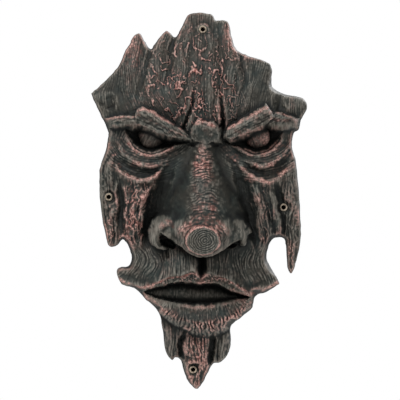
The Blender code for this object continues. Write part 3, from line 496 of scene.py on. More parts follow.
def mouth(depth, x, z):
    """The upper lip's flared edge and its lower face, the open mouth with its gum, and the wide lower lip.

    The upper lip falls by 0.7 mm a millimetre from its edge. The gum swells by (1 - z^2)(1 - x^2), each over
    its half size. The lower lip rolls in by a square above its crest, and by the power 2.6 below it.
    """
    edge, stands = along(UPPER_LIP_EDGE, x), along(UPPER_LIP_DEPTH, x)
    above = z - edge - DROOP * np.clip(stands - DROOP_FROM, 0, None)
    lip = stands - 0.7 * np.clip(above, 0, None) - 0.7 * np.clip(-above, 0, None)
    depth = smooth_max(depth, lip, 1.5)
    philtrum = [(2, -42, 6, -6), (2, -56, 7, -12), (2, -64, 6.5, -13), (1.5, -71, 4, -9), (1.5, -77, 2, -4)]
    depth = strand(depth, x, z, philtrum)

    top, bottom = along(MOUTH_TOP, x), along(MOUTH_BOTTOM, x)
    middle, half = (top + bottom) / 2, np.maximum((top - bottom) / 2, 0.1)
    gum = 27 + 8 * np.clip(1 - ((z - middle) / half) ** 2, 0, 1) * np.clip(1 - (x / 52) ** 2, 0, 1)
    past_corners = np.clip(MOUTH_TOP[0][0] - x, 0, None) + np.clip(x - MOUTH_TOP[-1][0], 0, None)
    cavity = gum + 6 * np.clip(np.abs(z - middle) - half, 0, None) + 4 * past_corners
    depth = smooth_min(depth, cavity, 2.5)

    foot = along(LOWER_LIP_FOOT, x)
    down = (bottom - z) / np.maximum(bottom - foot, 1)
    roll = 8 * np.clip(1 - down / 0.42, 0, None) ** 2 + 15 * np.clip((down - 0.42) / 0.58, 0, None) ** 2.6
    lip = along(LOWER_LIP_DEPTH, x) - roll - 6 * np.clip(z - bottom, 0, None)
    return smooth_max(depth, lip, 2.5)


def beard(depth, x, z):
    """A log for the middle root under the lower lip, with splits beside it and ribs on the slabs beyond."""
    root = [(0, -128, 10, 34), (-5, -142, 12, 38), (-2, -156, 10, 34), (-6, -170, 8.5, 29), (-4, -184, 5, 20)]
    depth = log(depth, x, z, root, drop=9, power=3, fillet=3)
    for points in (
        [(-14, -126, 4, -7), (-19, -144, 4, -8), (-17, -164, 4, -7)],
        [(12, -126, 4, -7), (12, -144, 4.5, -8), (10, -160, 4, -7), (14, -170, 3, -5)],
        [(-33, -118, 4, 3), (-29, -138, 5, 4), (-29, -160, 4, 4)],
        [(28, -126, 5, 4), (22, -144, 5, 5), (21, -164, 4, 4)],
    ):
        depth = strand(depth, x, z, points)
    return depth


def nose(depth, x, z):
    """A heavy nose that ends in a sawn branch stub, cut off sharply below, with curled wings at its sides.

    The bridge and the wings are logs, and the nostrils are troughs. The stub is flat within an ellipse, and
    falls by a line and a square outside it.
    """
    nothing = np.full(x.shape, -60.0)
    bridge = [
        (4, 58, 14, 50), (3, 42, 18, 55), (3, 26, 23, 61.5), (3, 8, 28, 70), (3, -8, 31, 78),
        (3, -26, 31, 85),
    ]
    body = log(nothing, x, z, bridge, drop=31, power=1.8)
    wings = log(nothing, x, z, [(-16, -24, 13, 66), (-27, -28, 12, 65), (-35, -32, 9, 61)], drop=14)
    wings = log(wings, x, z, [(20, -25, 13, 66), (32, -29, 12, 64), (39, -33, 9, 60)], drop=14)
    body = smooth_max(body, wings, 12)
    out = np.hypot((x - 2.8) / 16.2, (z + 32) / 13.4)
    fall = 24 + 18 * smooth_step(-22, -34, z)
    stub = 96 - 2 * smooth_step(0.97, 1.12, out) - fall * np.clip(out - 1, 0, None)
    stub = stub - 40 * np.clip(out - 1.5, 0, None) ** 2
    body = smooth_max(body, stub, 9)
    body = body - 9 * np.clip(along(NOSE_FOOT, x) - z, 0, None)
    depth = smooth_max(depth, body, 5)
    left_wing = [(-25, -20, 5, 61), (-33, -21, 6.5, 62.5), (-39.5, -25, 7, 62), (-43.3, -32, 6.3, 60.5),
                 (-43.7, -39.5, 4.8, 59), (-40.5, -45, 3.5, 56), (-35, -47.5, 2.4, 53)]
    right_wing = [
        (24, -20, 5, 60), (34, -22.5, 6.5, 62), (39.5, -28.5, 6.5, 61), (41.5, -35, 5.2, 59),
        (42, -42.5, 3.4, 55),
    ]
    for wing in (left_wing, right_wing):
        depth = log(depth, x, z, wing, drop=16, fillet=5)
    left_nostril = [(-37.5, -36.5, 3.6, 42), (-34.5, -40.5, 5.6, 32), (-27, -45, 4.6, 32)]
    right_nostril = [(38, -41, 2.2, 42), (34, -44.5, 3.4, 34), (27, -46.5, 2.8, 36)]
    for nostril in (left_nostril, right_nostril):
        depth = trough(depth, x, z, nostril, rise=20, fillet=2)
    return depth


def screw_seats(depth, x, z, near=4.5, far=8.5):
    """A flat seat round each screw hole, which blends into the carving from near to far off its centre."""
    for _, hole_x, hole_z, seat in SCREW_HOLES:
        away = smooth_step(near, far, np.hypot(x - hole_x, z - hole_z))
        depth = seat + (depth - seat) * away
    return depth


def large_forms(x, z):
    """The broad form with each feature laid on it in turn, and flat seats round the screws."""
    depth = thin_plate(BROAD_FORM, x, z)
    for carve in (forehead, eyes, brows, eye_bags, cheeks, mouth, beard, nose, screw_seats):
        depth = carve(depth, x, z)
    return depth


def with_rim(depth, x, z, inward):
    """The lesser of the carving and the rim, which rounds up in a quarter circle and then slopes."""
    over = np.clip(inward / RIM_ROUND, 0, 1)
    rim = RIM_DEPTH + RIM_ROUND * np.sqrt(over * (2 - over)) + RIM_SLOPE * inward
    for centre_x, centre_z, radius, rise in DEEP_RIMS:
        rim = rim + rise * smooth_step(1, 0.5, np.hypot(x - centre_x, z - centre_z) / radius)
    return smooth_min(depth, rim, 3)


# Fine carving: the bark's grain, crackle and folds, cut along the way that the wood runs. First comes where
# each line of grain runs: x, z, and the number of the line, which counts millimetres across the grain
GRAIN_LINES = (
    (3, 60, 3), (3, 100, 3), (3, 150, 3), (4, 188, 3),
    (16, 62, 18), (20, 100, 20), (23, 150, 21), (22, 180, 20),
    (30, 70, 38), (38, 105, 40), (42, 145, 40), (52, 82, 62), (60, 112, 64), (64, 138, 64),
    (74, 84, 84), (84, 104, 88), (100, 98, 104), (96, 74, 100),
    (-10, 62, -14), (-17, 95, -20), (-19, 130, -20), (-16, 183, -18),
    (-26, 78, -40), (-42, 105, -45), (-47, 140, -45), (-36, 168, -42),
    (-54, 88, -66), (-68, 112, -70), (-68, 140, -68), (-60, 166, -62),
    (-84, 86, -88), (-90, 108, -90), (-82, 132, -86), (-100, 92, -101), (-107, 105, -105), (-94, 119, -99),
    (-92, 62, -97), (-97, 30, -97), (-98, 0, -97), (-92, -42, -95), (-80, 60, -82), (-82, 30, -81),
    (-79, 0, -80), (-77, -38, -79), (-62, 18, -61), (-62, 0, -61), (-66, -40, -62), (-24, 50, -30),
    (-35, 15, -36), (-48, -15, -41), (-56, -45, -46),
    (90, 60, 97), (95, 30, 97), (99, 0, 98), (97, -45, 97), (92, -72, 94), (82, 50, 82), (80, 20, 80),
    (80, -38, 80), (60, 15, 60), (66, -20, 62), (70, -45, 63), (28, 50, 32), (38, 12, 38), (50, -15, 43),
    (55, -45, 47),
    (-10, 30, -10), (14, 30, 13), (-14, 0, -14), (20, 0, 18), (-20, -32, -18), (26, -32, 22),
    (-62, -57, -60), (-80, -75, -66), (-48, -78, -42), (-24, -72, -23), (0, -70, 0), (26, -74, 24),
    (48, -86, 41), (76, -82, 64), (64, -57, 61), (40, -57, 39), (-40, -57, -39), (0, -57, 1),
    (-42, -108, -38), (0, -118, 1), (40, -112, 36), (-33, -145, -33), (0, -145, 0), (27, -145, 27),
    (-4, -182, -3),
)


def scatter(i, j, seed):
    """A repeatable number from 0 to 1 for a whole-number cell: the fraction of a large sine of its place."""
    wave = np.sin(i * 127.1 + j * 311.7 + seed * 74.7) * 43758.5453
    return wave - np.floor(wave)


def noise(u, v, seed):
    """Smooth noise from -1 to 1: the numbers at a cell's four corners, blended along an S in u and in v."""
    i, j = np.floor(u), np.floor(v)
    across, up = smooth_step(0, 1, u - i), smooth_step(0, 1, v - j)
    low = scatter(i, j, seed) * (1 - across) + scatter(i + 1, j, seed) * across
    high = scatter(i, j + 1, seed) * (1 - across) + scatter(i + 1, j + 1, seed) * across
    return 2 * (low * (1 - up) + high * up) - 1


def comb(across, along_it, spacing, seed, reach=16, sharp=0.5):
    """Ridges side by side, from 0 in a groove to 1: a sine's size to the power sharp, which is narrow at 2.

    The ridges wander and differ in height, and each groove closes and opens again along its length.
    """
    phase = across / spacing + 0.6 * noise(across / 9, along_it / reach, seed)
    phase = phase + 0.32 * noise(across / 3.1, along_it / (0.45 * reach), seed + 2)
    height = 0.75 + 0.25 * noise(np.floor(phase) * 7.3, along_it / (0.6 * reach), seed + 3)
    ridge = np.abs(np.sin(np.pi * phase)) ** sharp * height
    shut = smooth_step(0.0, -0.7, noise(np.round(phase) * 5.7, along_it / (0.5 * reach), seed + 1))
    return ridge + (0.75 - ridge) * shut


def crackle(x, z, wide, tall, seed, width=0.2):
    """Raised crooked lines, 1 on a line: where bent noise crosses zero, broken where slower noise is low."""
    bent_x = x + 2.0 * noise(x / 4.4, z / 4, seed + 1) + 0.8 * noise(x / 1.9, z / 2.2, seed + 4)
    bent_z = z + 2.0 * noise(x / 4, z / 5, seed + 2)
    lines = smooth_step(width, 0, np.abs(noise(bent_x / wide, bent_z / tall, seed)))
    return lines * smooth_step(-0.3, 0.25, noise(x / 5.2, z / 8, seed + 3))


def gnarl(x, z, line, seed):
    """Knotted bark from 0 to 1.5: sharp ridges where two sizes of noise along the grain cross zero."""
    bent = line + 1.9 * noise(x / 5, z / 4.4, seed + 4)
    large = (1 - np.abs(noise(bent / 4.8, z / 11, seed))) ** 3.2
    small = (1 - np.abs(noise(bent / 2.6, z / 5.5, seed + 1))) ** 3
    return large + 0.5 * small


def patch(x, z, centre_x, centre_z, radius_x, radius_z):
    """1 inside an ellipse and 0 outside it, blended over the outer third of its radius."""
    return smooth_step(1.3, 0.7, np.hypot((x - centre_x) / radius_x, (z - centre_z) / radius_z))


def stroke(x, z, points):
    """A brush stroke: rows are x, z, half width. 1 on the line, falling to 0 at the half width."""
    line = curve_through(points)
    near = near_line(line, x, z, line[:, 2].max())
    distance, values = nearest(line, x[near], z[near])
    weight = np.zeros(x.shape)
    weight[near] = smooth_step(1, 0.35, distance / values[:, 0])
    return weight


# Each region below gives its weight from 0 to 1, its relief in millimetres and its share of copper, which is
# under 0 where the paint is left plain and darkened as painted shade. Each relief is a sum of combs, crackle,
# gnarl and noise


def outer_bark(x, z, line):
    """Fine grain all over, and long strands on the flaps beside the cheeks."""
    flaps = np.maximum(
        stroke(x, z, [(-94, 50, 9), (-95, 20, 14), (-93, -10, 16), (-88, -44, 14)]),
        stroke(x, z, [(90, 50, 9), (92, 20, 14), (93, -15, 15), (93, -50, 12), (91, -72, 8)]),
    )
    grain = comb(line, z, 2.3, 10, reach=22)
    strands = comb(line, z, 3.3, 12, reach=22, sharp=1)
    relief = 0.9 * noise(line / 6.5, z / 30, 14) + 1.25 * (grain - 0.6)
    rough = gnarl(x, z, line, 16)
    relief = relief * (1 - flaps) + flaps * (1.7 * (strands - 0.5) + 1.6 * (rough - 0.5))
    copper = 0.12 + 0.2 * noise(x / 9, z / 16, 15) - 0.05 * flaps
    for centre_x, centre_z, radius_x, radius_z, more in (
        (-66, 150, 9, 20, 0.25), (-36, 160, 6, 12, 0.2), (-14, 168, 9, 18, 0.25), (30, 158, 8, 18, 0.45),
        (24, 92, 7, 24, 0.3), (-92, -34, 8, 18, 0.18), (96, -40, 8, 40, 0.1),
    ):
        copper = copper + more * patch(x, z, centre_x, centre_z, radius_x, radius_z)
    # Less copper at the temples, under 0 in places, where it leaves off the grey-brown and darkens as painted
    # shade
    copper = copper - 0.25 * patch(x, z, 66, 112, 26, 26) - 0.2 * patch(x, z, -88, 104, 18, 20)
    return np.ones(x.shape), relief, copper


def forehead_crackle(x, z, line):
    """Raised crackle down the middle of the forehead, over the grain."""
    weight = patch(x, z, -6, 112, 48, 54) * smooth_step(56, 70, z)
    lines = np.maximum(crackle(x, z, 4.4, 12, 20, 0.2), 0.8 * crackle(x, z, 3.0, 7, 26, 0.2))
    grain = comb(line, z, 2.4, 32, reach=20)
    relief = 2.0 * lines + 1.1 * (grain - 0.6) + 0.9 * noise(line / 5, z / 18, 36)
    rubbed = patch(x, z, -12, 108, 34, 34) + 0.5 * patch(x, z, 24, 130, 12, 40)
    copper = 0.12 + 0.85 * lines * np.clip(rubbed, 0.3, 1) + 0.25 * noise(x / 7, z / 9, 37)
    return weight, relief, copper


def knotted_cheeks(x, z, line):
    """Knotted bark on the left cheek, and longer knotted strands on the right one."""
    left = stroke(x, z, [(-62, 24, 13), (-60, 12, 19), (-62, -6, 20), (-67, -30, 17), (-72, -44, 12)])
    right = stroke(x, z, [(58, 18, 13), (58, 2, 15), (64, -18, 16), (70, -44, 13)])
    knots = gnarl(x, z, line, 40)
    strands = comb(line, z, 3.4, 46, reach=18, sharp=1)
    relief = left * 2.8 * (knots - 0.45) + right * (1.7 * (knots - 0.45) + 1.5 * (strands - 0.45))
    weight = np.maximum(left, right)
    copper_left = 0.5 + 0.35 * noise(x / 7, z / 8, 50)
    copper_right = 0.2 + 0.3 * noise(x / 7, z / 12, 51)
    copper = np.where(left > right, copper_left, copper_right)
    return weight, relief / np.maximum(weight, 0.01), copper


def eye_folds(x, z, line):
    """Fine folds that run round under each eye."""
    weight, ring = np.zeros(x.shape), line
    for eye_x, eye_z in ((-47, 74), (57, 74)):
        out = np.hypot((x - eye_x) / 1.15, z - eye_z)
        side = smooth_step(62, 52, out) * smooth_step(17, 22, out) * smooth_step(8, -6, z - eye_z + 16)
        side = side * smooth_step(52, 42, np.abs(x - eye_x))
        weight = np.maximum(weight, side)
        ring = np.where(side > 0, out, ring)
    folds = comb(ring, x, 2.5, 52, reach=16)
    relief = 1.35 * (folds - 0.6) + 0.6 * noise(x / 3.4, z / 2.6, 56)
    return weight, relief, 0.2 + 0.25 * noise(x / 7, z / 5, 57)


def brow_wood(x, z, line):
    """Coarse grain that runs along each brow, and the knot's pitted face."""
    left = stroke(x, z, [
        (-96, 77, 7), (-80, 78, 8), (-62, 81, 11), (-50, 78, 12), (-32, 71, 9), (-12, 62, 6),
    ])
    right = stroke(x, z, [(28, 66, 7), (46, 73, 10), (64, 82, 12), (84, 78, 11), (98, 78, 9)])
    knot = patch(x, z, 4, 66, 14, 12)
    down_left = z + 0.5 * x + 0.012 * (x + 50) ** 2
    down_right = z - 0.52 * x
    along_left = comb(down_left, x, 4.2, 58, reach=12)
    along_right = comb(down_right, x, 3.6, 62, reach=16)
    weight = np.maximum(np.maximum(left, right), knot)
    relief = np.where(left >= right, 1.5 * (along_left - 0.6), 1.1 * (along_right - 0.6))
    relief = relief + 0.9 * noise(x / 3.4, z / 2.6, 66)
    relief = np.where(knot > 0.5, 0.9 * noise(x / 2.8, z / 2.6, 67), relief)
    copper = 0.02 + 0.25 * noise(x / 5, z / 4, 68)
    return weight, relief, copper


def eye_hollows(x, z, line):
    """Smooth eyeballs in plain sockets."""
    weight = np.zeros(x.shape)
    for eye_x in (-47, 56):
        weight = np.maximum(weight, patch(x, z, eye_x, 61, 23, 13))
    return weight, 0.2 * noise(x / 3, z / 3, 69), np.where(x > 0, 0.34, 0.12)


def nose_sides(x, z, line):
    """The nose's smooth sides and wings, and the valleys beside it, darkened above the wings as painted
    shade.
    """
    body = stroke(x, z, [(4, 52, 22), (3, 25, 40), (4, -5, 54), (4, -30, 60)]) * smooth_step(-62, -50, z)
    wings = stroke(x, z, [(-30, -24, 20), (-42, -36, 14)]) + stroke(x, z, [(32, -26, 20), (42, -38, 14)])
    weight = np.clip(body + wings, 0, 1)
    streaks = comb(line, z, 3.2, 70, reach=30)
    relief = 0.12 * (streaks - 0.6) + 0.16 * noise(x / 2.8, z / 4, 74)
    # Painted shade over the nose's flanks and valleys, away from the bridge and above the wings
    shaded = 0.85 * smooth_step(-26, -6, z) * smooth_step(6, 24, np.abs(x - 4))
    return weight, relief, 0.02 - shaded


def bridge_wrinkles(x, z, line):
    """Arched wrinkles over the bridge, wider apart towards its root."""
    weight = stroke(x, z, [(4, 50, 11), (3, 36, 15), (3, 16, 19), (4, -4, 25), (4, -16, 31)])
    rise = np.hypot((x - 4) * 1.15, (z + 40) / 1.1) + 1.5 * noise(x / 6, z / 6, 75)
    wrinkles = comb(rise, x, 2.6, 76, reach=9)
    relief = 1.5 * (wrinkles - 0.6) + 0.5 * noise(x / 2.6, z / 2.4, 80)
    copper = 0.2 + 0.5 * patch(x, z, 1, 33, 10, 9) + 0.25 * noise(x / 6, z / 7, 81)
    copper = copper + 0.25 * patch(x, z, 4, -8, 14, 9) - 0.15 * smooth_step(10, 18, np.abs(x - 4))
    return weight, relief, copper


def sawn_stub(x, z, line):
    """Growth rings on the sawn end, and arched wrinkles round the collar that it stands in."""
    out = np.hypot((x - 2.8) / 16.2, (z + 32) / 13.4)
    ring = np.hypot(x - 4.8, (z + 31.3) / 0.84) + 0.9 * noise(x / 3.4, z / 3.4, 82)
    sawn = smooth_step(1.0, 0.94, out)
    collar = smooth_step(1.8, 1.4, out)
    growth = 0.42 * np.sin(2 * np.pi * ring / 2.3) + 0.15 * noise(x / 1.8, z / 1.8, 83)
    bands = comb(14 * out + 0.8 * noise(x / 5, z / 5, 84), np.arctan2(x - 3, z + 32) * 18, 2.5, 85, reach=10)
    relief = sawn * growth + (1 - sawn) * 1.3 * (bands - 0.6)
    above = smooth_step(-34, -16, z)
    edge = smooth_step(0.12, 0.02, np.abs(out - 1.02))
    copper = (1 - sawn) * (0.08 + 0.5 * above) + 0.3 * edge
    return collar, relief, copper


def skirt_flutes(x, z, line):
    """Narrow grooves that flow down the skirt between the nose and the upper lip."""
    weight = stroke(x, z, [
        (-70, -60, 16), (-48, -62, 22), (-22, -60, 17), (2, -60, 13), (26, -61, 17), (50, -66, 22),
        (68, -70, 18),
    ])
    weight = weight * smooth_step(-1, 3, z - along(UPPER_LIP_EDGE, x) + 1)
    flutes = comb(line, z, 2.7, 90, reach=20)
    relief = 2.3 * (flutes - 0.6) + 0.7 * noise(line / 5, z / 14, 94)
    copper = 0.03 + 0.1 * noise(x / 8, z / 14, 95) + 0.2 * patch(x, z, -76, -66, 9, 9)
    return weight, relief, copper


def upper_lip_face(x, z, line):
    """Small crackle on the upper lip's lower face."""
    edge, opening = along(UPPER_LIP_EDGE, x), along(MOUTH_TOP, x)
    weight = smooth_step(1.5, -0.5, z - edge) * smooth_step(-3, 0, z - opening)
    weight = np.maximum(weight, smooth_step(3, 0, np.abs(z - edge)) * smooth_step(40, 52, np.abs(x)))
    lines = np.maximum(crackle(x, z, 3.0, 3.8, 96, 0.24), 0.8 * crackle(x, z, 2.4, 4.6, 102, 0.26))
    relief = 1.1 * lines + 0.4 * noise(x / 2, z / 2.2, 108)
    return weight, relief, 0.08 + 0.25 * lines + 0.3 * noise(x / 8, z / 7, 109)


def open_mouth(x, z, line):
    """Faint upright folds on the gum in the open mouth."""
    top, bottom = along(MOUTH_TOP, x), along(MOUTH_BOTTOM, x)
    weight = smooth_step(1, -1, z - top - 1) * smooth_step(-1, 1, z - bottom)
    weight = weight * smooth_step(56, 48, np.abs(x + 2))
    folds = comb(x * (1 + 0.006 * (z + 94)), z, 3.4, 110, reach=16)
    return weight, 0.45 * (folds - 0.6) + 0.25 * noise(x / 2.5, z / 4, 114), 0 * x


def lower_lip_folds(x, z, line):
    """Wrinkles that fan out across the lower lip: fine inside its crest, and sharp and coarse outside it."""
    bottom, foot = along(MOUTH_BOTTOM, x), along(LOWER_LIP_FOOT, x)
    down = (bottom - z) / np.maximum(bottom - foot, 1) + 0.07 * noise(x / 4, z / 4, 115)
    weight = smooth_step(-0.08, 0.02, down) * smooth_step(1.12, 1.0, down) * smooth_step(70, 58, np.abs(x))
    fan = np.arctan2(x - 2, -(z + 40)) * 78 + 0.9 * noise(x / 5, z / 5, 116)
    inner = comb(fan, z, 2.6, 117, reach=8)
    outer = comb(fan, z, 3.3, 121, reach=9, sharp=2)
    over = smooth_step(0.3, 0.55, down)
    relief = (1 - over) * 1.3 * (inner - 0.6) + over * 2.7 * (outer - 0.4)
    relief = relief + 0.3 * noise(x / 1.9, z / 1.9, 125)
    crest = smooth_step(0.12, 0.02, np.abs(down - 0.42))
    copper = (1 - over) * 0.15 + over * 0.24 + 0.1 * crest - 0.25 * smooth_step(0.85, 1.05, down)
    copper = copper + 0.2 * noise(x / 6, z / 6, 126)
    return weight, relief, copper


def beard_bark(x, z, line):
    """Ribbed slabs either side of a knotted root."""
    slabs = smooth_step(-112, -124, z + 0.25 * np.abs(x))
    root = stroke(x, z, [(-2, -124, 15), (-4, -145, 17), (-3, -160, 15), (-5, -176, 13), (-4, -188, 9)])
    ribs = comb(line, z, 3.0, 127, reach=24)
    knots = gnarl(x, z / 1.6, line, 131)
    strands = comb(line, z, 3.2, 139, reach=14, sharp=1)
    relief = (1 - root) * 1.9 * (ribs - 0.6) + root * (1.5 * (knots - 0.45) + 1.5 * (strands - 0.5))
    relief = relief + 0.4 * noise(x / 2.2, z / 4, 136)
    copper_slabs = 0.1 + 0.15 * noise(x / 5, z / 12, 137)
    copper_root = 0.55 + 0.25 * noise(x / 6, z / 8, 138)
    copper = (1 - root) * copper_slabs + root * copper_root
    return slabs, relief, copper


# Copper that is rubbed on by hand along edges and crests: strength, then rows of x, z, half width
RUBBED = (
    # Brows and the knot between them
    (0.6, (-96, 79, 1.3), (-88, 81, 1.4), (-78, 82, 1.5), (-70, 81.5, 1.4), (-63, 82, 1.3), (-61, 88, 1.2)),
    (1.0, (-61, 88, 1.2), (-54, 89.5, 1.6), (-46, 87, 1.7), (-38, 82, 1.6), (-28, 76, 1.5), (-18, 70, 1.3)),
    (0.35, (-50, 80, 1.1), (-38, 74, 1.3), (-26, 68.5, 1.2), (-14, 63, 1.1)),
    (1.0, (25, 69, 1.5), (34, 74.5, 1.8), (48, 82.5, 1.9), (60, 89, 1.9), (68, 92, 1.6)),
    (0.4, (74, 79, 2.4), (84, 78, 2.4), (96, 79, 2)),
    (0.5, (76, 86, 2), (84, 84, 2), (92, 80, 1.8)),
    (0.7, (-6, 75, 2), (0, 77.5, 3), (8, 76, 3), (14, 73, 2)),
    # Lids, cushions and rims under the eyes
    (0.6, (-71, 56, 1.4), (-65, 49.5, 1.7), (-56, 45, 1.8), (-47, 44, 1.7), (-38, 46, 1.5), (-27, 52, 1.3)),
    (0.3, (-76, 50, 1.5), (-69, 42, 1.8), (-61, 36.5, 1.9), (-52, 33.5, 1.8), (-42, 34.5, 1.4)),
    (0.45, (-80, 36, 1.4), (-74, 27, 1.8), (-65, 21.5, 2), (-55, 19.5, 2), (-46, 23, 1.7), (-38, 29, 1.4)),
    (0.55, (50, 46.5, 1.5), (60, 45.5, 1.9), (69, 50, 1.9), (76, 56.5, 1.6)),
    (0.35, (54, 34.5, 1.6), (62, 32.5, 1.9), (71, 36, 1.8), (78, 44, 1.5)),
    (0.45, (41, 33, 1.5), (50, 24, 1.9), (60, 18.5, 2.2), (70, 17, 2.2), (79, 22, 2), (86, 31, 1.6)),
    # The nose: its root, its left wing, the nostril's lower edge and the rim of the sawn end
    (0.6, (-5, 38, 2.2), (0, 33, 2.6), (5, 33, 2.6), (10, 31, 2)),
    (0.5, (-38, -24, 3), (-35, -21, 4), (-30, -20, 4), (-26, -22, 3)),
    (0.6, (-40, -35, 1.2), (-36, -36.5, 1.2), (-30, -43, 1.2), (-22, -48, 1.2), (-12, -51, 1.2)),
    (0.4, (-14, -30, 1.2), (-10, -21.5, 1.4), (2, -18, 1.6), (14, -21, 1.6), (19.5, -31, 1.4),
     (16, -41, 1.2)),
    # Lips
    (0.95, (-82, -77, 2), (-75, -81, 1.9), (-66, -84.5, 1.7), (-58, -86.5, 1.5), (-50, -84.5, 1.4),
     (-41, -80.2, 1.4), (-30.6, -74.8, 1.4), (-19, -72.8, 1.3), (-11, -70, 1.4), (-6, -69.5, 1.5),
     (1.5, -74.5, 1.5)),
    (0.95, (1.5, -74.5, 1.5), (8, -70.2, 1.5), (15, -72.8, 1.3), (23, -74.6, 1.3), (35, -81.5, 1.4),
     (44, -89, 1.6), (51, -92, 1.8), (60, -90.6, 1.8), (69, -86, 1.9), (78, -80.5, 2)),
    (0.35, (-48, -97, 1.4), (-33, -109, 1.7), (-16, -115, 1.7), (2, -118.5, 1.7), (20, -117, 1.7),
     (33, -111, 1.7), (44, -100, 1.4)),
)

# Painted light and shade, laid on with the grey-brown brush: forms made paler, or darker where the strength
# is negative. x, z of the middle, half width, half height, strength
LIGHT_AND_SHADE_FORMS = (
    # Left wing, right wing and the skin above it, the left nostril's lobe, and the nose's flanks
    (-35, -33, 10, 14, 0.3), (40, -37, 9, 10, 0.15), (42, -20, 11, 9, -0.4), (-24, -46, 12, 7, 0.4),
    (-18, -30, 13, 16, 0.35), (24, -30, 13, 16, 0.25), (-24, 14, 14, 30, -0.35), (31, -32, 6, 10, 0.3),
    # Painted shade in the creases above and beside the wings
    (-50, -19, 7, 9, -1.0), (-42, -13, 11, 5, -1.0), (51, -25, 6, 11, -1.0), (45, -16, 9, 5, -0.9),
    # Eyeballs, gum and the mouth's left corner
    (-48, 62, 12, 10, 0.5), (57, 62, 12, 10, 0.35), (0, -93, 36, 9, 0.2), (-42, -94, 9, 8, 0.5),
    # Forehead and its two splits, both brows, and the left brow's inner end
    (-76, 108, 15, 24, -0.2), (-18, 92, 20, 14, -0.25), (-10, 88, 5, 17, 0.5), (21, 90, 5, 20, 0.6),
    (-46, 80, 34, 10, -0.15), (62, 80, 34, 10, -0.15), (-24, 64, 13, 8, -0.4),
    # Outer flaps, the bag under the right eye, and painted shade above the right notch
    (-98, 18, 10, 24, 0.3), (96, 10, 11, 24, 0.35), (70, 26, 15, 9, 0.25), (72, -32, 16, 14, -0.55),
    # Painted shade under the lower lip's crest, under the lip on the right, and on the tip of the beard
    (0, -106, 32, 9, -0.6), (24, -130, 14, 9, -0.4), (-3, -180, 13, 11, -0.5),
)


def fine_carving(x, z):
    """Each place's fine relief, copper, rubbed strokes, painted light and shade, and line of grain.

    Each region is laid over the last: its values replace what is there by the share of its weight.
    """
    line = thin_plate(GRAIN_LINES, x, z)
    line = line + 1.4 * noise(x / 9, z / 17, 3) + 0.7 * noise(x / 4, z / 8, 4)
    relief, copper = np.zeros(x.shape), np.zeros(x.shape)
    for region in (
        outer_bark, forehead_crackle, knotted_cheeks, eye_folds, eye_hollows, brow_wood, nose_sides,
        bridge_wrinkles, sawn_stub, skirt_flutes, upper_lip_face, open_mouth, beard_bark, lower_lip_folds,
    ):
        weight, cut, share = region(x, z, line)
        relief = relief * (1 - weight) + cut * weight
        copper = copper * (1 - weight) + share * weight
    relief = relief + 0.24 * noise(x / 1.4, z / 1.7, 5) * smooth_step(-0.6, 0, copper)
    rubbed = np.zeros(x.shape)
    worn = 0.65 + 0.6 * noise(x / 2.2, z / 2.4, 97) + 0.35 * noise(x / 6, z / 6, 98)
    for strength, *points in RUBBED:
        mark = stroke(x, z, points)
        rubbed = np.maximum(rubbed, strength * mark * np.clip(worn, 0, 1))
        relief = relief + 0.5 * mark * noise(x / 2.4, z / 2.6, 99)
    for _, hole_x, hole_z, _ in SCREW_HOLES:
        off_seat = smooth_step(3.6, 6, np.hypot(x - hole_x, z - hole_z))
        rubbed, copper = rubbed * off_seat, copper * off_seat
    painted_lift = np.zeros(x.shape)
    for centre_x, centre_z, radius_x, radius_z, amount in LIGHT_AND_SHADE_FORMS:
        painted_lift = painted_lift + amount * patch(x, z, centre_x, centre_z, radius_x, radius_z)
    return relief, copper, rubbed, painted_lift, line


def spread(field, reach):
    """The field blurred over reach samples each way: three running means in x and in z."""
    for _ in range(3):
        for axis in (0, 1):
            pad = [(reach + 1, reach) if a == axis else (0, 0) for a in (0, 1)]
            total = np.cumsum(np.pad(field, pad, mode="edge"), axis=axis)
            upper = np.take(total, np.arange(2 * reach + 1, total.shape[axis]), axis=axis)
            lower = np.take(total, np.arange(0, total.shape[axis] - 2 * reach - 1), axis=axis)
            field = (upper - lower) / (2 * reach + 1)
    return field


def paint_marks(front, copper, rubbed, painted_lift):
    """Where each coat of paint takes: copper and grey-brown on what is proud, and black wash and painted
    shade in what is deep.

    A place stands proud by what it rises over the mean within 1 and 4 samples, and by its painted light and
    shade. It lies deep by what it falls under the mean within 8 and 24 samples. Where copper is under 0, the
    grey-brown is left off and the deep is darkened further, as painted shade.
    """
    fine = np.clip((front - spread(front, 1)) / 0.30, -2, 2)
    broad = np.clip((front - spread(front, 4)) / 1.6, -1.5, 1.5)
    stands = 0.65 * fine + 0.4 * broad + painted_lift
    crests = smooth_step(0.4, 1.3, stands + 0.9 * (copper - 0.45)) * smooth_step(0.02, 0.4, copper)
    deep = np.clip((spread(front, 8) - front) / 9, 0, 1) + np.clip((spread(front, 24) - front) / 26, 0, 1)
    shaded = np.clip(-copper, 0, 1)
    copper = np.clip(copper, 0, 1)
    return {
        "stain": np.clip(copper * smooth_step(-0.6, 0.7, stands) + 0.6 * rubbed, 0, 1),
        "copper": np.maximum(crests, np.clip(rubbed * (0.4 + 0.9 * stands), 0, 1)),
        "dry_brush_and_painted_light": smooth_step(-0.1, 1.0, stands) * (1 - shaded),
        "groove": smooth_step(0.1, 1.4, -stands),
        "hollow": np.clip(deep + 0.55 * shaded - 0.5 * np.clip(painted_lift, 0, 1), 0, 1),
    }


def inside(loop, x, z):
    """True inside a closed loop: an odd number of its sides cross the line to the right."""
    crossings = np.zeros(x.shape, int)
    for (start_x, start_z), (end_x, end_z) in zip(loop[:-1], loop[1:]):
        if start_z == end_z:
            continue
        spans = (z >= min(start_z, end_z)) & (z < max(start_z, end_z))
        crosses = start_x + (z - start_z) / (end_z - start_z) * (end_x - start_x)
        crossings += spans & (crosses > x)
    return crossings % 2 == 1


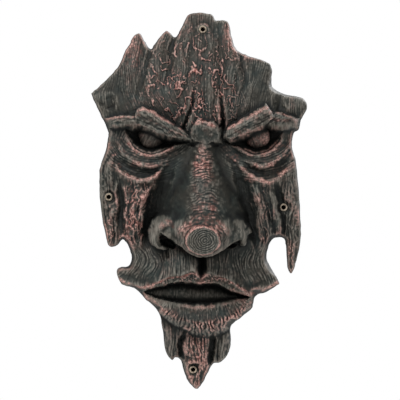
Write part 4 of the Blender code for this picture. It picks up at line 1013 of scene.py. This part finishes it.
def silhouette(steps):
    """The silhouette as a closed loop through its points, stepped in and out by noise along its length."""
    loop = curve_through(OUTLINE, steps, closed=True)
    ahead = np.roll(loop, -1, axis=0) - np.roll(loop, 1, axis=0)
    out = np.column_stack([-ahead[:, 1], ahead[:, 0]]) / np.hypot(ahead[:, 0], ahead[:, 1])[:, None]
    run = np.cumsum(np.hypot(ahead[:, 0], ahead[:, 1]) / 2)
    ripple = 0.4 * noise(run / 4.3, run * 0, 71) + 0.25 * noise(run / 1.7, run * 0, 72)
    loop = loop + out * np.minimum(ripple, 0.1)[:, None]
    return np.vstack([loop, loop[:1]])


def hollow_back(x, z):
    """Depth of the hollow: the least carved depth near a place, less the wall, clear of the rim and screws.

    It is worked out every 2.5 mm, smoothed, and read between those places for each x, z.
    """
    step = 2.5
    across = np.arange(FACE_LEFT - 20, 130, step)
    up = np.arange(FACE_FOOT - 20, 210, step)
    coarse_x, coarse_z = np.meshgrid(across, up)
    loop = silhouette(2)
    distance, _ = nearest(loop, coarse_x, coarse_z)
    inward = np.where(inside(loop, coarse_x, coarse_z), distance, -distance)
    front = with_rim(large_forms(coarse_x, coarse_z), coarse_x, coarse_z, inward)
    least = front.copy()
    reach = int(1.5 * WALL / step)
    for step_x in range(-reach, reach + 1):
        for step_z in range(-reach, reach + 1):
            if math.hypot(step_x, step_z) <= reach:
                least = np.minimum(least, np.roll(front, (step_z, step_x), axis=(0, 1)))
    depth = spread(least, 1) - WALL
    depth = smooth_min(depth, HOLLOW_SLOPE * (inward - BACK_LAND), 6)
    for name, hole_x, hole_z, _ in SCREW_HOLES:
        pad = HANGING_PAD_RADIUS if name == "top" else PAD_RADIUS
        past_pad = np.hypot(coarse_x - hole_x, coarse_z - hole_z) - pad
        depth = smooth_min(depth, HOLLOW_SLOPE * past_pad, 4)
    depth = np.maximum(depth, 0)
    place_x = np.clip((x - across[0]) / step, 0, len(across) - 1.001)
    place_z = np.clip((z - up[0]) / step, 0, len(up) - 1.001)
    i, j = place_x.astype(int), place_z.astype(int)
    share_x, share_z = place_x - i, place_z - j
    low = depth[j, i] * (1 - share_x) + depth[j, i + 1] * share_x
    high = depth[j + 1, i] * (1 - share_x) + depth[j + 1, i + 1] * share_x
    return low * (1 - share_z) + high * share_z


def placed(x, z, depth):
    """Carving millimetres to metres in the part's frame, with the droop of what stands far out."""
    down = z - DROOP * np.clip(depth - DROOP_FROM, 0, None)
    across = face_low[0] + (x - FACE_LEFT) * UNIT
    up = face_low[2] + (down - FACE_FOOT) * UNIT
    return np.stack([across, -depth * UNIT, up], axis=-1)


def cast_face():
    """The casting as one closed sheet: a carved front on a square grid, a rim, and a hollow back.

    Cells that touch the inside of the silhouette are kept, and their outer corners are drawn in onto it. The
    front is the large forms, read at places bent by noise, and the fine relief.
    """
    loop = silhouette(6)
    x, z = np.meshgrid(np.arange(FACE_LEFT - 1, FACE_RIGHT, GRID), np.arange(FACE_FOOT - 1, FACE_TOP, GRID))
    distance, foot = nearest(np.hstack([loop, loop]), x, z)
    within = inside(loop, x, z)
    inward = np.where(within, distance, -distance)
    for _, hole_x, hole_z, _ in SCREW_HOLES:
        out = np.hypot(x - hole_x, z - hole_z)
        drilled = out < BORE_RADIUS
        share = BORE_RADIUS / np.maximum(out, 0.01)
        edge = np.stack([hole_x + (x - hole_x) * share, hole_z + (z - hole_z) * share], axis=-1)
        foot[drilled] = edge[drilled]
        within = within & ~drilled
    keep = within[:-1, :-1] | within[1:, :-1] | within[:-1, 1:] | within[1:, 1:]
    x = np.where(within, x, foot[..., 0])
    z = np.where(within, z, foot[..., 1])
    inward = np.where(within, inward, np.clip(inward, 0, None))

    relief, copper, rubbed, painted_lift, line = fine_carving(x, z)
    bent_x = x + 0.7 * noise(x / 7, z / 6, 6) + 0.35 * noise(x / 3, z / 2.8, 7)
    bent_z = z + 0.7 * noise(x / 6, z / 7, 8) + 0.35 * noise(x / 2.8, z / 3, 9)
    front = screw_seats(large_forms(bent_x, bent_z) + relief, x, z, near=3.7, far=5.2)
    front = with_rim(front, x, z, inward)
    front = np.maximum(front, RIM_DEPTH)
    back = np.minimum(hollow_back(x, z), front - 0.6 * WALL)
    back = np.maximum(back, 0)
    # Painted shade along the silhouette: within 5 mm of it the grey-brown and copper thin out and the wash
    # deepens
    shaded_edge = 0.8 * smooth_step(5, 0.5, inward)
    marks = paint_marks(front, copper, rubbed, painted_lift - shaded_edge)
    marks["grain_line"] = line
    marks["grain_way"] = z

    number = np.arange(x.size).reshape(x.shape)
    corners = np.stack([number[:-1, :-1], number[:-1, 1:], number[1:, 1:], number[1:, :-1]], axis=-1)[keep]
    sides = np.concatenate([corners[:, [0, 1]], corners[:, [1, 2]], corners[:, [2, 3]], corners[:, [3, 0]]])
    low_high = np.sort(sides, axis=1)
    side_number = low_high[:, 0] * x.size + low_high[:, 1]
    _, first, count = np.unique(side_number, return_index=True, return_counts=True)
    border = sides[first[count == 1]]
    used = np.unique(corners)
    renumber = np.zeros(x.size, int)
    renumber[used] = np.arange(len(used))
    front_faces = renumber[corners]
    back_faces = front_faces[:, ::-1] + len(used)
    start, end = renumber[border[:, 0]], renumber[border[:, 1]]
    rim_faces = np.column_stack([end, start, start + len(used), end + len(used)])
    points = np.vstack([
        placed(x, z, front).reshape(-1, 3)[used],
        placed(x, z, back).reshape(-1, 3)[used],
    ])
    faces = np.vstack([front_faces, back_faces, rim_faces])
    # The back has one plain coat of the grey-brown brush, and no copper or wash
    plain = np.zeros(len(used))
    both = {name: np.append(values.ravel()[used], plain) for name, values in marks.items()}
    for name in ("grain_line", "grain_way"):
        both[name][len(used):] = both[name][:len(used)]
    both["dry_brush_and_painted_light"][len(used):] = 0.45
    return points, faces, both


def solid_mesh(name, points, faces):
    """A mesh of four-sided faces, straight from the arrays."""
    mesh = bpy.data.meshes.new(name)
    mesh.vertices.add(len(points))
    mesh.vertices.foreach_set("co", points.astype(np.float32).ravel())
    mesh.loops.add(faces.size)
    mesh.loops.foreach_set("vertex_index", faces.astype(np.int32).ravel())
    mesh.polygons.add(len(faces))
    mesh.polygons.foreach_set("loop_start", np.arange(0, faces.size, 4, dtype=np.int32))
    mesh.update(calc_edges=True)
    return mesh


def new_piece(name, mesh):
    """An object for the mesh, at the origin, unturned and unscaled."""
    piece = bpy.data.objects.new(name, mesh)
    bpy.context.scene.collection.objects.link(piece)
    return piece


points, faces, marks = cast_face()
face_mesh = solid_mesh("tree_face_casting", points, faces)
for mark, values in marks.items():
    attribute = face_mesh.attributes.new(mark, "FLOAT", "POINT")
    attribute.data.foreach_set("value", values.astype(np.float32))
face = new_piece("tree_face_casting", face_mesh)
plain_back = face.vertex_groups.new(name="plain_back")
plain_back.add(list(range(len(points) // 2, len(points))), 1.0, "REPLACE")
thin_back = face.modifiers.new("Thin the back", "DECIMATE")
thin_back.vertex_group = "plain_back"
thin_back.ratio = BACK_SHARE
thin_all = face.modifiers.new("Thin the whole", "DECIMATE")
thin_all.ratio = FACE_TRIANGLES / (2 * len(faces) * BACK_SHARE)
bpy.context.view_layer.update()
thinned = bpy.data.meshes.new_from_object(face.evaluated_get(bpy.context.evaluated_depsgraph_get()))
face.modifiers.clear()
face.data = thinned
face.vertex_groups.clear()
thinned.name = "tree_face_casting"
thinned.shade_smooth()
thinned.set_sharp_from_angle(angle=math.radians(70))


def linear(code):
    """A colour given as six sRGB hex digits, turned to linear light."""
    values = [int(code[i:i + 2], 16) / 255 for i in (0, 2, 4)]
    return tuple(v / 12.92 if v <= 0.04045 else ((v + 0.055) / 1.055) ** 2.4 for v in values) + (1.0,)


def add(tree, kind, inputs=None, **settings):
    """A node with its settings, and its inputs set to values or linked from sockets."""
    node = tree.nodes.new("ShaderNode" + kind)
    for key, value in settings.items():
        setattr(node, key, value)
    for key, value in (inputs or {}).items():
        if isinstance(value, bpy.types.NodeSocket):
            tree.links.new(value, node.inputs[key])
        else:
            node.inputs[key].default_value = value
    return node


def painted_resin():
    """Cast polyresin with a matt skin, sprayed dark bark brown, with black wash and painted shade in the
    hollows.

    Over the base lie a grey-brown that catches on the tops of the grain and also lays on painted light and
    shade, a thin red-brown stain on the parts that are rubbed with copper, and the copper-pink itself on the
    highest crests. The eye sees a dark chalky face with worn warm edges.
    """
    material = bpy.data.materials.new("painted_resin")
    material.use_nodes = True
    tree = material.node_tree
    shader = tree.nodes["Principled BSDF"]
    place = add(tree, "TexCoord").outputs["Object"]
    mark = {
        name: add(tree, "Attribute", attribute_name=name).outputs["Fac"]
        for name in ("stain", "copper", "dry_brush_and_painted_light", "groove", "hollow", "grain_line", "grain_way")
    }

    # Cloudy brown and green-grey base, in patches of about 20 mm
    clouds = add(tree, "TexNoise", {"Vector": place, "Scale": 50.0, "Detail": 4.0}).outputs["Fac"]
    cloudy = add(tree, "MapRange", {"Value": clouds, "From Min": 0.40, "From Max": 0.62}).outputs["Result"]
    base = add(
        tree, "Mix", {"Factor": cloudy, 6: linear("35342e"), 7: linear("2c3431")}, data_type="RGBA"
    ).outputs[2]

    # Brush streaks that follow the grain, 1.2 mm across and 10 mm along, and specks of 2 mm. Both are coarser
    # than a real brush leaves, because finer ones don't show
    across = add(tree, "Math", {0: mark["grain_line"], 1: 0.85}, operation="MULTIPLY").outputs[0]
    along_it = add(tree, "Math", {0: mark["grain_way"], 1: 0.10}, operation="MULTIPLY").outputs[0]
    grain_place = add(tree, "CombineXYZ", {"X": across, "Y": along_it}).outputs[0]
    streaks = add(
        tree, "TexNoise", {"Vector": grain_place, "Scale": 1.0, "Detail": 5.0, "Roughness": 0.65}
    ).outputs["Fac"]
    streaky = add(
        tree, "MapRange", {"Value": streaks, "From Min": 0.42, "From Max": 0.60, "To Min": 0.25}
    ).outputs["Result"]
    speckle = add(tree, "TexNoise", {"Vector": place, "Scale": 500.0, "Detail": 3.0}).outputs["Fac"]
    speckled = add(tree, "MapRange", {"Value": speckle, "From Min": 0.40, "From Max": 0.56}).outputs["Result"]

    # Grey-brown dry brush on the tops of the grain, which also lays on painted light and shade
    dry = add(tree, "Math", {0: streaky, 1: mark["dry_brush_and_painted_light"]}, operation="MULTIPLY").outputs[0]
    dry = add(tree, "Math", {0: dry, 1: 0.8}, operation="MULTIPLY").outputs[0]
    brushed = add(tree, "Mix", {"Factor": dry, 6: base, 7: linear("928c82")}, data_type="RGBA").outputs[2]

    # Red-brown stain, in patches of about 5 mm, and copper-pink on the crests
    patches = add(tree, "TexNoise", {"Vector": place, "Scale": 190.0, "Detail": 3.0}).outputs["Fac"]
    patchy = add(tree, "MapRange", {"Value": patches, "From Min": 0.36, "From Max": 0.60}).outputs["Result"]
    stain = add(tree, "Math", {0: mark["stain"], 1: patchy}, operation="MULTIPLY").outputs[0]
    stained = add(
        tree, "Mix", {"Factor": stain, 6: brushed, 7: linear("85473f")}, data_type="RGBA"
    ).outputs[2]
    pink = add(
        tree, "Mix", {"Factor": mark["dry_brush_and_painted_light"], 6: linear("a4685d"), 7: linear("d6a89d")}, data_type="RGBA"
    ).outputs[2]
    taken = add(tree, "Math", {0: mark["copper"], 1: speckled}, operation="MULTIPLY").outputs[0]
    taken = add(tree, "Math", {0: taken, 1: 0.9}, operation="MULTIPLY").outputs[0]
    coppered = add(tree, "Mix", {"Factor": taken, 6: stained, 7: pink}, data_type="RGBA").outputs[2]

    # Black wash and painted shade, thin in the grooves and thick in the sockets, the mouth and the nose's
    # valleys
    groove_wash_and_shade = add(tree, "Math", {0: mark["groove"], 1: 0.8}, operation="MULTIPLY").outputs[0]
    washed = add(
        tree, "Mix", {"Factor": groove_wash_and_shade, 6: coppered, 7: linear("14171a")}, data_type="RGBA"
    ).outputs[2]
    hollow_wash_and_shade = add(tree, "Math", {0: mark["hollow"], 1: 0.8}, operation="MULTIPLY").outputs[0]
    finish = add(
        tree, "Mix", {"Factor": hollow_wash_and_shade, 6: washed, 7: linear("171816")}, data_type="RGBA"
    ).outputs[2]

    # The streaks stand 0.6 mm proud, and the skin is matt, with little shine
    bump = add(tree, "Bump", {"Strength": 0.6, "Distance": 0.0006, "Height": streaks})
    tree.links.new(finish, shader.inputs["Base Color"])
    tree.links.new(bump.outputs["Normal"], shader.inputs["Normal"])
    shader.inputs["Roughness"].default_value = 0.68
    shader.inputs["Specular IOR Level"].default_value = 0.3
    return material


thinned.materials.clear()
thinned.materials.append(painted_resin())
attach(face, "root")
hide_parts("tree_face")

# Each screw ring is a bush cast in with the face: a rounded lip 1.3 mm proud of its seat, and a bore down to
# a floor near the back that closes it, painted black as shade. The paint is rubbed thin on the lip.

HOLE_RADIUS = 2.2
RING_RADIUS = 3.8
RING_RISE = 1.3
SHADE_FLOOR = 0.4
BORE_PLAY = 0.05


def turned_bush(hole_x, hole_z, seat, sides=40):
    """A profile of radius and depth that starts and ends on the hole's axis, turned once round it."""
    inner, outer, shank = HOLE_RADIUS, RING_RADIUS, BORE_RADIUS - BORE_PLAY
    middle = (inner + outer) / 2
    profile = np.array([
        (0, BORE_PLAY), (0, SHADE_FLOOR), (inner, SHADE_FLOOR), (inner, seat + 0.75),
        (inner + 0.25, seat + RING_RISE - 0.15), (middle, seat + RING_RISE),
        (outer - 0.25, seat + RING_RISE - 0.15), (outer, seat + 0.7),
        (outer, seat - 1.5), (shank, seat - 2.0), (shank, BORE_PLAY),
    ])
    turn = np.linspace(0, 2 * np.pi, sides, endpoint=False)
    x = hole_x + profile[:, 0] * np.cos(turn)[:, None]
    z = hole_z + profile[:, 0] * np.sin(turn)[:, None]
    points = placed(x, z, np.broadcast_to(profile[:, 1], x.shape)).reshape(-1, 3)
    count = len(profile)
    ring, place = np.meshgrid(np.arange(sides), np.arange(count), indexing="ij")
    next_ring, next_place = (ring + 1) % sides, (place + 1) % count
    faces = np.stack([
        ring * count + place, ring * count + next_place,
        next_ring * count + next_place, next_ring * count + place,
    ], axis=-1).reshape(-1, 4)
    return points, faces


ring_points, ring_faces, placed_so_far = [], [], 0
for _, hole_x, hole_z, seat in SCREW_HOLES:
    points, faces = turned_bush(hole_x, hole_z, seat)
    ring_points.append(points)
    ring_faces.append(faces + placed_so_far)
    placed_so_far += len(points)
rings = new_piece("screw_rings", solid_mesh("screw_rings", np.vstack(ring_points), np.vstack(ring_faces)))
merged = bmesh.new()
merged.from_mesh(rings.data)
bmesh.ops.remove_doubles(merged, verts=merged.verts, dist=1e-6)
bmesh.ops.recalc_face_normals(merged, faces=merged.faces)
merged.to_mesh(rings.data)
merged.free()
rings.data.shade_smooth()
rings.data.set_sharp_from_angle(angle=math.radians(50))


def rubbed_ring():
    """The same painted resin: the eye sees a dull tan where the lip is rubbed, and black down the bore as
    painted shade.
    """
    material = bpy.data.materials.new("rubbed_ring")
    material.use_nodes = True
    tree = material.node_tree
    shader = tree.nodes["Principled BSDF"]
    place = add(tree, "TexCoord").outputs["Object"]
    speckle = add(tree, "TexNoise", {"Vector": place, "Scale": 500.0, "Detail": 3.0}).outputs["Fac"]
    rubbed = add(tree, "MapRange", {"Value": speckle, "From Min": 0.32, "From Max": 0.58}).outputs["Result"]
    tan = add(
        tree, "Mix", {"Factor": rubbed, 6: linear("6b6054"), 7: linear("b7a793")}, data_type="RGBA"
    ).outputs[2]
    # Painted shade: black down the bore, fading in between 15 and 13.5 mm off the back, and on the floor that
    # closes it
    deep = add(tree, "SeparateXYZ", {"Vector": place}).outputs["Y"]
    down = add(tree, "MapRange", {"Value": deep, "From Min": -0.0150, "From Max": -0.0135}).outputs["Result"]
    finish = add(tree, "Mix", {"Factor": down, 6: tan, 7: linear("0a0a0b")}, data_type="RGBA").outputs[2]
    bump = add(tree, "Bump", {"Strength": 0.4, "Distance": 0.0002, "Height": speckle})
    tree.links.new(finish, shader.inputs["Base Color"])
    tree.links.new(bump.outputs["Normal"], shader.inputs["Normal"])
    shader.inputs["Roughness"].default_value = 0.6
    shader.inputs["Specular IOR Level"].default_value = 0.35
    return material


rings.data.materials.append(rubbed_ring())
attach(rings, "root")

# The stage: a pale floor well under the face, a white surround that lights it only dimly, a soft lamp from
# the upper left, a weak one from the right, one behind it for the back, and a camera square to the face

FLOOR_HALF = 0.7
FLOOR_DROP = 0.42
middle = placed(np.array(0.0), np.array(0.0), np.array(0.0))
floor_corners = np.array([(-1, -1, 0), (1, -1, 0), (1, 1, 0), (-1, 1, 0)]) * FLOOR_HALF
floor_mesh = solid_mesh("floor", floor_corners, np.array([[0, 1, 2, 3]]))
floor = new_piece("floor", floor_mesh)
floor.location = (middle[0], 0, middle[2] - FLOOR_DROP)
floor_paint = bpy.data.materials.new("pale_floor")
floor_paint.use_nodes = True
floor_paint.node_tree.nodes["Principled BSDF"].inputs["Base Color"].default_value = linear("e8e8e6")
floor_mesh.materials.append(floor_paint)

surround = bpy.data.worlds.new("white_surround")
surround.use_nodes = True
sky = surround.node_tree
seen = add(sky, "LightPath").outputs["Is Camera Ray"]
strength = add(sky, "MapRange", {"Value": seen, "To Min": 0.34, "To Max": 1.0}).outputs["Result"]
sky.nodes["Background"].inputs["Color"].default_value = (1, 1, 1, 1)
sky.links.new(strength, sky.nodes["Background"].inputs["Strength"])
bpy.context.scene.world = surround
bpy.context.scene.view_settings.view_transform = "Standard"


def soft_lamp(name, size, power, place, aim):
    """A square soft box at place, in metres, of power in watts, that faces aim."""
    light = bpy.data.lights.new(name, "AREA")
    light.size = size
    light.energy = power
    lamp = bpy.data.objects.new(name, light)
    bpy.context.scene.collection.objects.link(lamp)
    lamp.location = place
    back = np.array(place) - np.array(aim)
    turn = math.atan2(back[0], -back[1])
    tilt = math.atan2(math.hypot(back[0], back[1]), back[2])
    lamp.rotation_euler = (tilt, 0, turn)


soft_lamp("key", 0.6, 29, (middle[0] - 0.75, -1.3, middle[2] + 1.4), middle)
soft_lamp("fill", 0.9, 6, (middle[0] + 1.2, -1.4, middle[2] + 0.3), middle)
soft_lamp("back", 0.9, 34, (middle[0] + 0.9, 1.5, middle[2] + 0.9), middle)

CAMERA_DISTANCE = 2.4
VIEW_WIDTH = 0.4
SENSOR_WIDTH = 36.0
lens = bpy.data.cameras.new("camera")
lens.sensor_width = SENSOR_WIDTH
lens.lens = SENSOR_WIDTH * CAMERA_DISTANCE / VIEW_WIDTH
camera = bpy.data.objects.new("camera", lens)
bpy.context.scene.collection.objects.link(camera)
camera.location = (middle[0], -CAMERA_DISTANCE, middle[2])
camera.rotation_euler = (math.pi / 2, 0, 0)
bpy.context.scene.camera = camera
